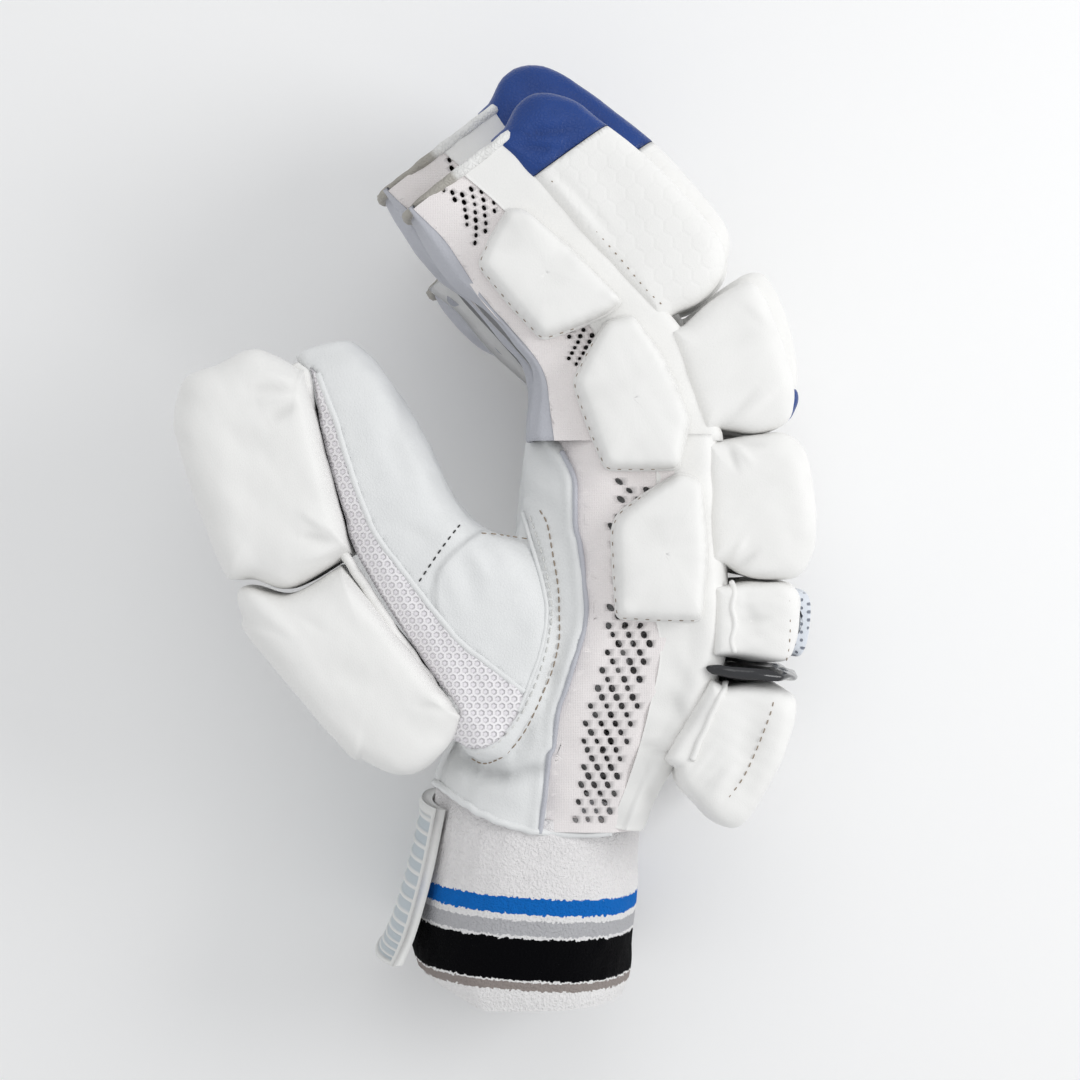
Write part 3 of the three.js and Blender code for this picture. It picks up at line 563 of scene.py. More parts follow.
def leather_grain_group():
    """Leather grain: small cells for the pores, long soft creases and a faint mottling."""
    group, start, end = new_group(
        "leather_grain",
        [("Cells per metre", "NodeSocketFloat", 900.0), ("Crease", "NodeSocketFloat", 0.5)],
        [("Height", "NodeSocketFloat"), ("Mottle", "NodeSocketFloat")])
    place = object_place(group)
    cells = group.nodes.new("ShaderNodeTexVoronoi")
    cells.feature = "DISTANCE_TO_EDGE"
    link(group, place, cells.inputs["Vector"])
    link(group, start.outputs["Cells per metre"], cells.inputs["Scale"])
    steep = math_node(group, "MULTIPLY", cells.outputs["Distance"], 4.0)
    cell_height = math_node(group, "MINIMUM", steep, 1.0)
    crease = noise_node(group, place, 110, detail=4, roughness=0.6)
    creased = math_node(group, "MULTIPLY", crease.outputs["Fac"], start.outputs["Crease"])
    height = math_node(group, "ADD", math_node(group, "MULTIPLY", cell_height, 0.25), creased)
    mottle = noise_node(group, place, 38, detail=5)
    link(group, height, end.inputs["Height"])
    link(group, mottle.outputs["Fac"], end.inputs["Mottle"])
    return group


def hexagon_group():
    """A lattice of hexagons over X and Y: how far each point is from its cell's edge, 0 at the edge and
    0.5 in the middle. Two staggered grids of rectangles are wrapped, and the nearer centre is kept."""
    group, start, end = new_group(
        "hexagons",
        [("Vector", "NodeSocketVector", None), ("Cells per metre", "NodeSocketFloat", 180.0)],
        [("Inset", "NodeSocketFloat")])

    def vector_math(operation, first, second=None, third=None):
        node = group.nodes.new("ShaderNodeVectorMath")
        node.operation = operation
        for socket, value in zip(node.inputs, (first, second, third)):
            if value is None:
                continue
            if isinstance(value, tuple):
                socket.default_value = value
            else:
                link(group, value, socket)
        return node

    scaled = group.nodes.new("ShaderNodeVectorMath")
    scaled.operation = "SCALE"
    link(group, start.outputs["Vector"], scaled.inputs[0])
    link(group, start.outputs["Cells per metre"], scaled.inputs["Scale"])
    flat = vector_math("MULTIPLY", scaled.outputs[0], (1, 1, 0)).outputs[0]
    half = (0.5, math.sqrt(3) / 2, 1)
    first = vector_math("WRAP", flat, half, tuple(-x for x in half)).outputs[0]
    moved = vector_math("SUBTRACT", flat, (half[0], half[1], 0)).outputs[0]
    second = vector_math("WRAP", moved, half, tuple(-x for x in half)).outputs[0]
    nearer = math_node(group, "LESS_THAN", vector_math("LENGTH", first).outputs["Value"],
                       vector_math("LENGTH", second).outputs["Value"])
    chosen = group.nodes.new("ShaderNodeMix")
    chosen.data_type = "VECTOR"
    link(group, nearer, chosen.inputs[0])
    link(group, second, chosen.inputs[4])
    link(group, first, chosen.inputs[5])
    away = vector_math("ABSOLUTE", chosen.outputs[1]).outputs[0]
    slope = vector_math("DOT_PRODUCT", away, (0.5, math.sqrt(3) / 2, 0)).outputs["Value"]
    parts = group.nodes.new("ShaderNodeSeparateXYZ")
    link(group, away, parts.inputs[0])
    reach = math_node(group, "MAXIMUM", slope, parts.outputs["X"])
    link(group, math_node(group, "SUBTRACT", 0.5, reach), end.inputs["Inset"])
    return group


def knit_group():
    """Fine knit: rows of small loops as two crossed waves bent by noise, with a fuzz of fine noise."""
    group, start, end = new_group(
        "fine_knit",
        [("Rows per metre", "NodeSocketFloat", 900.0)],
        [("Height", "NodeSocketFloat"), ("Fuzz", "NodeSocketFloat")])
    place = object_place(group)
    heights = []
    for direction in ("X", "Y"):
        wave = group.nodes.new("ShaderNodeTexWave")
        wave.bands_direction = direction
        wave.inputs["Distortion"].default_value = 1.6
        wave.inputs["Detail"].default_value = 1.0
        link(group, place, wave.inputs["Vector"])
        link(group, start.outputs["Rows per metre"], wave.inputs["Scale"])
        heights.append(wave.outputs["Fac"])
    fuzz = noise_node(group, place, 2600, detail=2)
    loops = math_node(group, "MULTIPLY", heights[0], heights[1])
    height = math_node(group, "ADD", loops, math_node(group, "MULTIPLY", fuzz.outputs["Fac"], 0.7))
    link(group, height, end.inputs["Height"])
    link(group, fuzz.outputs["Fac"], end.inputs["Fuzz"])
    return group


def shade_of(tree):
    """The piece's own shade attribute, painted shade: 0 where none is painted, up to 1 in folds and seams."""
    return attribute(tree, "shade")


def place_group(tree, group, **values):
    node = tree.nodes.new("ShaderNodeGroup")
    node.node_tree = group
    for label, value in values.items():
        node.inputs[label.replace("_", " ")].default_value = value
    return node


def bump(tree, height, distance, strength=1.0, normal=None):
    node = tree.nodes.new("ShaderNodeBump")
    node.inputs["Distance"].default_value = distance
    node.inputs["Strength"].default_value = strength
    link(tree, height, node.inputs["Height"])
    if normal is not None:
        link(tree, normal, node.inputs["Normal"])
    return node.outputs["Normal"]


def leather(name, colour, dark, roughness, cells, crease, depth, hexagons=0.0):
    """Leather: mottled between two tints, with painted shade in folds and seams, with grain and, if asked,
    embossed hexagons.
    """
    material, tree, shader = node_tree(name)
    grain = place_group(tree, GROUPS["grain"], Cells_per_metre=cells, Crease=crease)
    mottled = mix_colour(tree, math_node(tree, "MULTIPLY", grain.outputs["Mottle"], 0.35), colour, dark)
    # Painted shade: the shade attribute darkens the leather in folds and seams.
    painted_shade_mix = mix_colour(tree, shade_of(tree), mottled, tuple(0.45 * x for x in dark))
    link(tree, painted_shade_mix, shader.inputs["Base Color"])
    normal = bump(tree, grain.outputs["Height"], depth)
    if hexagons:
        place = object_place(tree)
        cellular = place_group(tree, GROUPS["hexagons"], Cells_per_metre=hexagons)
        link(tree, place, cellular.inputs["Vector"])
        rim = math_node(tree, "MINIMUM", math_node(tree, "MULTIPLY", cellular.outputs["Inset"], 7.0), 1.0)
        normal = bump(tree, rim, 0.00007, 1.0, normal)
    link(tree, normal, shader.inputs["Normal"])
    shader.inputs["Roughness"].default_value = roughness
    shader.inputs["Specular IOR Level"].default_value = 0.4
    return material


def binding_material():
    """The fingertips' leather: greyish beige where the binding is folded over, white on the end panel."""
    material, tree, shader = node_tree("binding_leather")
    grain = place_group(tree, GROUPS["grain"], Cells_per_metre=800.0, Crease=0.8)
    band = mix_colour(tree, grain.outputs["Mottle"], (0.50, 0.48, 0.43), (0.36, 0.34, 0.31))
    tint = mix_colour(tree, attribute(tree, "beige"), (0.88, 0.88, 0.865), band)
    link(tree, mix_colour(tree, shade_of(tree), tint, (0.1, 0.09, 0.08)), shader.inputs["Base Color"])
    link(tree, bump(tree, grain.outputs["Height"], 0.0006), shader.inputs["Normal"])
    shader.inputs["Roughness"].default_value = 0.6
    return material


def dotted_material():
    """The vent's leather: bluish white with rows of small punched dots, painted dark as painted shade in the
    holes.
    """
    material, tree, shader = node_tree("dotted_leather")
    parts = tree.nodes.new("ShaderNodeSeparateXYZ")
    link(tree, object_place(tree), parts.inputs[0])
    place = tree.nodes.new("ShaderNodeCombineXYZ")
    link(tree, parts.outputs["Y"], place.inputs["X"])
    link(tree, math_node(tree, "ADD", parts.outputs["X"], parts.outputs["Z"]), place.inputs["Y"])
    cellular = place_group(tree, GROUPS["hexagons"], Cells_per_metre=420.0)
    link(tree, place.outputs[0], cellular.inputs["Vector"])
    dot = ramp_node(tree, cellular.outputs["Inset"], [(0.3, (0, 0, 0)), (0.36, (1, 1, 1))])
    # The dark dot colour is painted shade in the punched holes.
    tint = mix_colour(tree, dot.outputs["Color"], (0.70, 0.74, 0.80), (0.20, 0.22, 0.27))
    link(tree, tint, shader.inputs["Base Color"])
    depth = math_node(tree, "SUBTRACT", 1.0, dot.outputs["Color"])
    link(tree, bump(tree, depth, 0.0004), shader.inputs["Normal"])
    shader.inputs["Roughness"].default_value = 0.5
    return material


def knit_material(name, colour, dark):
    material, tree, shader = node_tree(name)
    knit = place_group(tree, GROUPS["knit"], Rows_per_metre=620.0)
    tinted = mix_colour(tree, knit.outputs["Fuzz"], dark, colour)
    # Painted shade: the shade attribute darkens the knit round its holes and on its inner skin.
    painted_shade_mix = mix_colour(tree, shade_of(tree), tinted, tuple(0.35 * x for x in dark))
    link(tree, painted_shade_mix, shader.inputs["Base Color"])
    link(tree, bump(tree, knit.outputs["Height"], 0.0001), shader.inputs["Normal"])
    shader.inputs["Roughness"].default_value = 0.95
    shader.inputs["Sheen Weight"].default_value = 0.2
    return material


def air_mesh_material():
    """Air mesh: raised ribs round hexagonal cells whose sunken floors are greyer, painted shade in the cells."""
    material, tree, shader = node_tree("air_mesh")
    place = object_place(tree)
    cellular = place_group(tree, GROUPS["hexagons"], Cells_per_metre=417.0)
    link(tree, place, cellular.inputs["Vector"])
    floor = ramp_node(tree, cellular.outputs["Inset"], [(0.12, (0, 0, 0)), (0.3, (1, 1, 1))])
    # The greyer floor colour is painted shade in the sunken cells.
    tint = mix_colour(tree, floor.outputs["Color"], (0.96, 0.94, 0.96), (0.90, 0.87, 0.91))
    # Painted shade: the shade attribute darkens the mesh along its tucked edges and on its under skin.
    painted_shade_mix = mix_colour(tree, shade_of(tree), tint, (0.25, 0.24, 0.25))
    link(tree, painted_shade_mix, shader.inputs["Base Color"])
    depth = math_node(tree, "SUBTRACT", 1.0, floor.outputs["Color"])
    link(tree, bump(tree, depth, 0.0005), shader.inputs["Normal"])
    shader.inputs["Roughness"].default_value = 0.85
    return material


# The cuff's stripes: where each begins along the glove, in millimetres from the hem upwards
CUFF_STRIPES = [
    (-143, (0.95, 0.935, 0.93)),
    (-139.2, (0.34, 0.30, 0.28)),
    (-136.8, (0.93, 0.92, 0.91)),
    (-136.2, (0.0012, 0.0012, 0.002)),
    (-123.6, (0.90, 0.89, 0.89)),
    (-122.8, (0.52, 0.52, 0.54)),
    (-118.2, (0.92, 0.91, 0.91)),
    (-116.5, (0.008, 0.16, 0.58)),
    (-111.4, (0.95, 0.93, 0.93)),
]
CUFF_RAMP_START, CUFF_RAMP_LENGTH = -150, 80


def cuff_material():
    """Towelling knit: stripes by the distance along the glove, painted shade between the loops where their bump
    sinks, a loopy bump and a soft sheen.
    """
    material, tree, shader = node_tree("striped_towelling")
    place = object_place(tree)
    ragged = noise_node(tree, place, 900, detail=3)
    nudge = math_node(tree, "MULTIPLY", math_node(tree, "SUBTRACT", ragged.outputs["Fac"], 0.5), 0.03)
    stops = [((start - CUFF_RAMP_START) / CUFF_RAMP_LENGTH, colour) for start, colour in CUFF_STRIPES]
    stripes = ramp_node(tree, math_node(tree, "ADD", attribute(tree, "along"), nudge), stops, "CONSTANT")
    loops = noise_node(tree, place, 1250, detail=2, roughness=0.6)
    # Painted shade: the stripes are darkened where the loops' bump is low.
    loop_hollow_shade = math_node(tree, "MULTIPLY", math_node(tree, "SUBTRACT", 1.0, loops.outputs["Fac"]), 0.4)
    loop_shaded_stripes = mix_colour(tree, loop_hollow_shade, stripes.outputs["Color"], (0.62, 0.62, 0.64), "MULTIPLY")
    link(tree, loop_shaded_stripes, shader.inputs["Base Color"])
    link(tree, bump(tree, loops.outputs["Fac"], 0.0010), shader.inputs["Normal"])
    shader.inputs["Roughness"].default_value = 1.0
    shader.inputs["Specular IOR Level"].default_value = 0.1
    return material


def rubber_material():
    """Moulded rubber: satin, with the windows' blue-grey from the piece's own mask."""
    material, tree, shader = node_tree("moulded_rubber")
    place = object_place(tree)
    cloudy = noise_node(tree, place, 60)
    body = mix_colour(tree, cloudy.outputs["Fac"], (0.76, 0.76, 0.745), (0.84, 0.84, 0.825))
    tint = mix_colour(tree, attribute(tree, "window"), body, (0.50, 0.56, 0.60))
    # Painted shade: the shade attribute darkens the rubber in the groove round the windows.
    painted_shade_mix = mix_colour(tree, shade_of(tree), tint, (0.10, 0.10, 0.11))
    link(tree, painted_shade_mix, shader.inputs["Base Color"])
    fine = noise_node(tree, place, 1500)
    link(tree, bump(tree, fine.outputs["Fac"], 0.0001), shader.inputs["Normal"])
    shader.inputs["Roughness"].default_value = 0.42
    return material


def piping_material():
    material, tree, shader = node_tree("black_piping")
    place = object_place(tree)
    uneven = noise_node(tree, place, 160, detail=4)
    link(tree, mix_colour(tree, uneven.outputs["Fac"], (0.006, 0.006, 0.008), (0.02, 0.021, 0.026)),
         shader.inputs["Base Color"])
    link(tree, bump(tree, uneven.outputs["Fac"], 0.0006), shader.inputs["Normal"])
    shader.inputs["Roughness"].default_value = 0.22
    shader.inputs["Coat Weight"].default_value = 0.5
    return material


def thread_material(name, colour, dark):
    material, tree, shader = node_tree(name)
    place = object_place(tree)
    twist = noise_node(tree, place, 2000)
    link(tree, mix_colour(tree, twist.outputs["Fac"], dark, colour), shader.inputs["Base Color"])
    link(tree, bump(tree, twist.outputs["Fac"], 0.0001), shader.inputs["Normal"])
    shader.inputs["Roughness"].default_value = 0.8
    return material


GROUPS = {"grain": leather_grain_group(), "hexagons": hexagon_group(), "knit": knit_group()}
MATERIALS = {
    "white": leather("white_leather", (0.90, 0.895, 0.88), (0.85, 0.845, 0.825), 0.5, 1300.0, 0.3, 0.00009),
    "embossed": leather("embossed_leather", (0.90, 0.895, 0.88), (0.85, 0.845, 0.825), 0.5, 1300.0, 0.3,
                        0.00009, hexagons=182.0),
    "palm": leather("palm_leather", (0.83, 0.84, 0.84), (0.73, 0.74, 0.75), 0.55, 1100.0, 1.6, 0.0002),
    "inner": leather("inner_leather", (0.55, 0.56, 0.61), (0.36, 0.37, 0.41), 0.6, 900.0, 0.8, 0.0003),
    "blue": leather("blue_leather", (0.010, 0.055, 0.26), (0.006, 0.030, 0.15), 0.38, 900.0, 0.9, 0.0003),
    "binding": binding_material(),
    "gusset": knit_material("gusset_knit", (0.96, 0.915, 0.905), (0.87, 0.825, 0.825)),
    "air_mesh": air_mesh_material(),
    "cuff": cuff_material(),
    "rubber": rubber_material(),
    "piping": piping_material(),
    "beige_thread": thread_material("beige_thread", (0.42, 0.34, 0.26), (0.22, 0.17, 0.13)),
    "white_thread": thread_material("white_thread", (0.85, 0.85, 0.83), (0.68, 0.68, 0.66)),
    "dark_thread": thread_material("dark_thread", (0.05, 0.05, 0.05), (0.02, 0.02, 0.02)),
    "vent": dotted_material(),
}


# Tubes: the stalls and the hand

def tube_sections(finger=None, count=60):
    """Rows along a tube, splined: palm side x and y, back x and y, low, high, and the knit's two shares."""
    if finger is None:
        table = HAND
        rows = np.column_stack([
            plan(table[:, 0:2]), plan(table[:, 2:4]), table[:, 4] * STACK_LOW,
            STACK_HIGH - table[:, 5] * WRIST_NARROWING, table[:, 6], table[:, 7]])
    else:
        table = STALL
        middle = finger_middle(finger)
        half = np.full(len(table), FINGER_WIDTH / 2)
        rows = np.column_stack([
            finger_plan(finger, table[:, 0:2]), finger_plan(finger, table[:, 2:4]), middle - half,
            middle + half, table[:, 4], table[:, 5]])
    return spline(rows, count)


def section_points(sections, across, up, inset):
    """Points of a tube: across from its palm side to its back, up from its low to its high side, and
    drawn in by a wall."""
    palm, back = sections[:, None, 0:2], sections[:, None, 2:4]
    low, high = sections[:, None, 4], sections[:, None, 5]
    run = back - palm
    depth = np.linalg.norm(run, axis=-1)
    reach = (across - 0.5) * (depth - 2 * inset)
    place = (palm + back) / 2 + run / depth[..., None] * reach[..., None]
    rise = (low + high) / 2 + up * ((high - low) / 2 - inset)
    return np.concatenate([place, rise[..., None]], -1)


PALM_CORNERS = [(1, -1), (0.5, -0.94), (0.04, -0.7), (0, -0.3), (0, 0.3), (0.04, 0.7), (0.5, 0.94), (1, 1)]
BACK_CORNERS = [(0.92, 1), (0.99, 0.82), (1, 0.4), (1, -0.4), (0.99, -0.82), (0.92, -1)]


def smoothed_wall(sections, across, up, count, inset):
    """A wall's grid: at every section, the curve through its corners."""
    table = np.stack([across, np.tile(up, (len(sections), 1))], -1)
    smooth = spline(table.transpose(1, 0, 2), count).transpose(1, 0, 2)
    return section_points(sections, smooth[..., 0], smooth[..., 1], inset)


def smoothed_rings(sections, corners, size, fine, count, inset):
    """A tube's whole outline, as rings of evenly spread points. The corners are shares of its usual size."""
    smooth = evenly(spline(np.array(corners) * size, fine, closed=True), count, closed=True) / size
    shape = (len(sections), count)
    across, up = (np.broadcast_to(smooth[:, axis], shape) for axis in (0, 1))
    return section_points(sections, across, up, inset)


def palm_grid(sections, inset, count, overlap=0.0):
    """The palm side's wall: its corners' curve, whose two ends lie on the knit's edge."""
    corners = np.array(PALM_CORNERS)
    depth = np.linalg.norm(sections[:, 2:4] - sections[:, 0:2], axis=1)
    edge = sections[:, 6] + overlap / depth
    across = np.tile(corners[:, 0], (len(sections), 1))
    across[:, [0, -1]] = edge[:, None]
    across[:, [1, -2]] = edge[:, None] * 0.5
    return smoothed_wall(sections, across, corners[:, 1], count, inset)


def back_grid(sections, inset, count, high_share, low_share, overlap=0.0):
    """The back's wall, from the high side's knit edge round the back to the low side's edge."""
    corners = np.array([(0, 1), (0.5, 1)] + BACK_CORNERS + [(0.5, -1), (0, -1)])
    depth = np.linalg.norm(sections[:, 2:4] - sections[:, 0:2], axis=1)
    high = sections[:, high_share] - overlap / depth
    low = sections[:, low_share] - overlap / depth
    across = np.tile(corners[:, 0], (len(sections), 1))
    across[:, 0] = high
    across[:, 1] = (high + 0.92) / 2
    across[:, -1] = low
    across[:, -2] = (low + 0.92) / 2
    return smoothed_wall(sections, across, corners[:, 1], count, inset)


def knit_point(sections, across, along, side, inset):
    """A point of the knit on the high or low side: across its width and along the tube, both from 0 to 1."""
    place = along * (len(sections) - 1)
    row = np.minimum(place.astype(int), len(sections) - 2)
    share = (place - row)[:, None]
    here = sections[row] * (1 - share) + sections[row + 1] * share
    between = here[:, 6] + (here[:, 7] - here[:, 6]) * across
    points = section_points(here, between[:, None], np.full((len(here), 1), float(side)), inset)
    return points[:, 0]


def pierced_sheet(surface, thickness, columns, rows, pierced, hole=(0.21, 0.42)):
    """A sheet in cells set out like bricks, with an oval hole through each cell where pierced says so.

    surface(across, along, depth) gives points. Each cell is a ring of sixteen points on its rectangle and
    sixteen on its oval, which in a whole cell shrinks to a dot."""
    rim = []
    for x1, y1, x2, y2 in [(-1, -1, 0, -1), (0, -1, 1, -1), (1, -1, 1, 0), (1, 0, 1, 1), (1, 1, 0, 1),
                           (0, 1, -1, 1), (-1, 1, -1, 0), (-1, 0, -1, -1)]:
        rim += [(x1, y1), ((x1 + x2) / 2, (y1 + y2) / 2)]
    rim = np.array(rim, float)
    angle = np.arctan2(rim[:, 1], rim[:, 0])
    oval = np.stack([np.cos(angle), np.sin(angle)], -1)
    across, along, width = [], [], []
    for row in range(rows):
        edges = np.arange(columns + 1) / columns
        if row % 2:
            edges = np.concatenate([[0], (np.arange(columns) + 0.5) / columns, [1]])
        across.append((edges[1:] + edges[:-1]) / 2)
        width.append(np.diff(edges) / 2)
        along.append(np.full(len(edges) - 1, (row + 0.5) / rows))
    across, along, width = (np.concatenate(part) for part in (across, along, width))
    whole_cell = width > 0.9 * 0.5 / columns
    open_cell = pierced(surface(across, along, 0)) & whole_cell
    rng = np.random.default_rng(7)
    size = np.where(open_cell, rng.uniform(0.72, 1.08, len(width)), 0.02)[:, None, None]
    nudge = rng.uniform(-0.12, 0.12, (len(width), 1, 2))
    half = np.stack([width, np.full(len(width), 0.5 / rows)], -1)[:, None]
    centre = np.stack([across, along], -1)[:, None]
    shared = np.where(whole_cell[:, None, None], rim, np.trunc(rim))
    outer_ring = centre + shared * half
    slant = oval + np.stack([0.5 * oval[:, 1], np.zeros(16)], -1)
    inner_ring = centre + (slant * np.array(hole) * 2 * size + nudge * (1, 0.3)) * half
    points, faces = [], []
    cells = len(across)
    for depth in (0, thickness):
        for ring in (outer_ring, inner_ring):
            flat = ring.reshape(-1, 2)
            points.append(surface(np.clip(flat[:, 0], 0, 1), np.clip(flat[:, 1], 0, 1), depth))
    step = cells * 16
    number = np.arange(cells)[:, None] * 16
    k = np.arange(16)
    after = (k + 1) % 16
    rim_a, rim_b = (number + k).ravel(), (number + after).ravel()
    faces.append(np.stack([rim_a, rim_b, rim_b + step, rim_a + step], -1))
    faces.append(np.stack([rim_a + 3 * step, rim_b + 3 * step, rim_b + 2 * step, rim_a + 2 * step], -1))
    bores = (number + k)[open_cell].ravel(), (number + after)[open_cell].ravel()
    faces.append(np.stack([bores[0] + step, bores[1] + step, bores[1] + 3 * step, bores[0] + 3 * step], -1))
    faces = np.concatenate(faces).tolist()
    plain = np.flatnonzero(~open_cell)
    for cell in plain.tolist():
        ring = [cell * 16 + i for i in range(16)]
        faces.append([step + i for i in ring])
        faces.append([3 * step + i for i in ring][::-1])
    points = np.concatenate(points)
    shade = np.zeros(len(points))
    near = np.repeat(open_cell, 16) * 0.35
    shade[step:2 * step] = near
    shade[2 * step:] = 0.8
    return points, faces, shade


def close_sheet(piece, distance=0.00004):
    """Joins the cells' shared points and closes the sheet's outer edge with strips between its two skins."""
    body = bmesh.new()
    body.from_mesh(piece.data)
    bmesh.ops.remove_doubles(body, verts=body.verts, dist=distance)
    rim = [edge for edge in body.edges if edge.is_boundary]
    bmesh.ops.bridge_loops(body, edges=rim)
    bmesh.ops.recalc_face_normals(body, faces=body.faces)
    body.to_mesh(piece.data)
    body.free()


# Where the index side's knit is pierced, as outlines in the plan, in millimetres
KNIT_HOLE_FIELDS = [
    [(-16.4, 101.7), (-6.9, 102.2), (2.8, 98.4), (0.8, 95.9), (-3.6, 85.7), (-5.7, 84.4), (-9.5, 95.3)],
    [(-14, 122), (-2, 124), (8, 112), (-4, 104), (-16, 110)],
    [(20.6, 62), (33, 60), (30, 48.5), (22, 50)],
    [(34.7, 16.4), (46, 15.5), (45, 7.5), (35, 7.5)],
    [(34, 7.5), (37.6, 7.5), (37.6, -24), (34, -24)],
    [(33.9, -24), (46.5, -26), (43, -45.6), (40, -63.3), (35, -85.7), (22.9, -85.7), (24.4, -72.1),
    (27.1, -54.4),
     (30.6, -39.1)],
]


def pierced_here(points):
    found = np.zeros(len(points), bool)
    for field in KNIT_HOLE_FIELDS:
        found |= inside(points[:, :2], np.array(field, float))
    return found


def add_knit(name, surface, columns, rows, pierced):
    """A knit gusset over a surface that is given by its width and length, pierced where the mask says so."""
    points, faces, shade = pierced_sheet(surface, KNIT, columns, rows, pierced)
    piece = add_mesh(name, points, faces, MATERIALS["gusset"], {"shade": shade})
    close_sheet(piece)
    return finish_piece(piece, "gusset_knit", name)


def tube_knit(sections, side):
    """A gusset's surface on the high or low side of a tube: swelling between its seams, and rippled."""
    def surface(across, along, depth):
        points = knit_point(sections, across, along, side, 0)
        swell = 1.1 * np.sin(math.pi * across) - 0.5
        points[:, 2] += side * (swell + 0.25 * wander(points, 9, 3) - depth)
        return points
    return surface


def hand_knit(level):
    """The hand's pierced gusset between the palm's seam and the back, over the height that level gives."""
    seam = seen(spline(KNIT_SEAM, 200), GUSSET_LEVEL)
    end = seen(spline(KNIT_END, 200), GUSSET_LEVEL)
    top, bottom = min(seam[0, 1], end[0, 1]), max(seam[-1, 1], end[-1, 1])

    def surface(across, along, depth):
        y = top + (bottom - top) * along
        left = np.interp(y, seam[::-1, 1], seam[::-1, 0])
        right = np.interp(y, end[::-1, 1], end[::-1, 0])
        place = np.stack([left + (right - left) * across, y], -1)
        tuck = 1.0 * np.exp(-(across / 0.12) ** 2) + 1.9 * smoothstep(0.78, 0.95, across)
        swell = 0.9 * np.sin(math.pi * np.clip(across, 0, 1)) ** 0.5 - 0.3 - tuck
        ripple = 0.35 * wander(place, 13, 3)
        return np.column_stack([place, level(place) + swell + ripple - depth])
    return surface


def add_wall_piece(name, outer, thickness, material, slot, nodes, folds=None, ripple=0.25, seed=1):
    """A wall whose outer skin is a grid with folds and ripples; the inner skin lies a thickness under it."""
    normal = outward_normals(outer)
    height = ripple * wander(outer, 14, seed)
    if folds is not None:
        upper = smoothstep(0.1, 0.7, normal[..., 2])
        height = height + fold_field(outer[..., :2], folds) * upper
    shade = np.clip(-height * 0.25, 0, 0.35)
    skin = outer + normal * height[..., None]
    skin[..., 2] = np.maximum(skin[..., 2], 0)
    points, faces = wall_form(skin, outer - normal * thickness)
    shades = np.concatenate([shade.ravel(), np.full(shade.size, 0.85)])
    piece = add_mesh(name, points, faces, material, {"shade": shades})
    return finish_piece(piece, slot, *nodes)


def add_stall(name):
    finger = FINGERS[name]
    sections = tube_sections(finger, 64)
    high_gusset = name != "little"
    start = beyond(sections[::-1], 2.5)
    sheet = np.vstack([start, sections, beyond(sections, 1.0)])
    add_wall_piece(f"{name}_palm_leather", palm_grid(sheet, 0, 44, 1.0), LEATHER, MATERIALS["inner"],
                   "palm_leather", [f"{name}_palm_leather"], ripple=0.35, seed=finger["place"] + 5)
    side = 1 if high_gusset else -1
    add_knit(f"{name}_gusset", tube_knit(np.vstack([start, sections]), side), 7, 42, pierced_here)
    shares = (7, 6) if high_gusset else (6, 7)
    add_wall_piece(f"{name}_back_leather", back_grid(sheet, -0.3, 70, *shares, overlap=1.0), LEATHER,
                   MATERIALS["white"], "white_leather", [f"{name}_back_leather"], ripple=0.3,
                   seed=finger["place"] + 15)
    add_tip(name, sections)


def beyond(sections, distance):
    """The last row of a tube moved on past its end by a distance."""
    last = sections[-1].copy()
    run = sections[-1, 0:4].reshape(2, 2).mean(0) - sections[-2, 0:4].reshape(2, 2).mean(0)
    way = run / np.linalg.norm(run) * distance
    last[0:2] += way
    last[2:4] += way
    return last[None]


WHOLE_CORNERS = [(0.3, -0.98), (0.04, -0.7), (0, -0.3), (0, 0.3), (0.04, 0.7), (0.3, 0.98), (0.6, 1),
                 *BACK_CORNERS, (0.6, -1)]
TUBE_SIZE = (20, 12)


def whole_ring(sections, inset, count):
    return smoothed_rings(sections, WHOLE_CORNERS, TUBE_SIZE, count * 4, count, inset)


# A fingertip's binding: how far past the stall's end each ring lies, and how far it is drawn in
TIP_STEPS = [(-1.2, -0.4), (-0.7, -1.1), (0.5, -1.4), (1.6, -1.1), (1.8, 0.2), (0.9, 1.6), (0.6, 4.0),
             (0.9, 7.0), (1.2, 10)]
TIP_INNER_STEPS = [(0.2, 9), (-1.2, 1.6)]
TIP_POINTS = 110


def tip_rings(sections, steps):
    return np.array([whole_ring(beyond(sections, step), inset, TIP_POINTS)[0] for step, inset in steps])


def add_tip(name, sections):
    """A fingertip: a folded binding band round the stall's end, and an end panel creased inside it."""
    rings = tip_rings(sections, TIP_STEPS)
    across = to_segment(rings[..., :2], sections[-1, 0:2], sections[-1, 2:4])[1]
    rough = 0.35 * wander(rings, 9, 21) + 0.1 * wander(rings, 4, 22)
    rings = rings + grid_normals(rings, ringed=True) * rough[..., None]
    inner = tip_rings(sections, TIP_INNER_STEPS)
    points, faces = closed_form(np.concatenate([inner, rings]))
    shade = np.clip(wander(points, 4, 9) * 0.15, 0, 1)
    band = (1 - smoothstep(0.44, 0.5, across)).ravel()
    beige = np.concatenate([np.zeros(inner.size // 3), band, [0, 0]])
    piece = add_mesh(f"{name}_tip", points, faces, MATERIALS["binding"], {"shade": shade, "beige": beige})
    finish_piece(piece, "palm_leather", f"{name}_tip")


# Pads: where their anchors lie above the base line, and the angle at which a side turns into a face

ANCHOR_SHARE = 0.3
FACE_FROM = 68
# The share of the hand's width that the vent covers: 0.8 in the part's source, and a little more here
VENT_LOOK_SHARE = 0.84
# How squarely each kind of pad is filled out: the powers of the cosine and of the sine in cushion_rings
BACK_POWERS = (0.3, 0.42)
HAND_POWERS = (0.16, 0.3)
VENT_POWERS = (0.1, 0.3)
THUMB_POWERS = (0.34, 0.46)


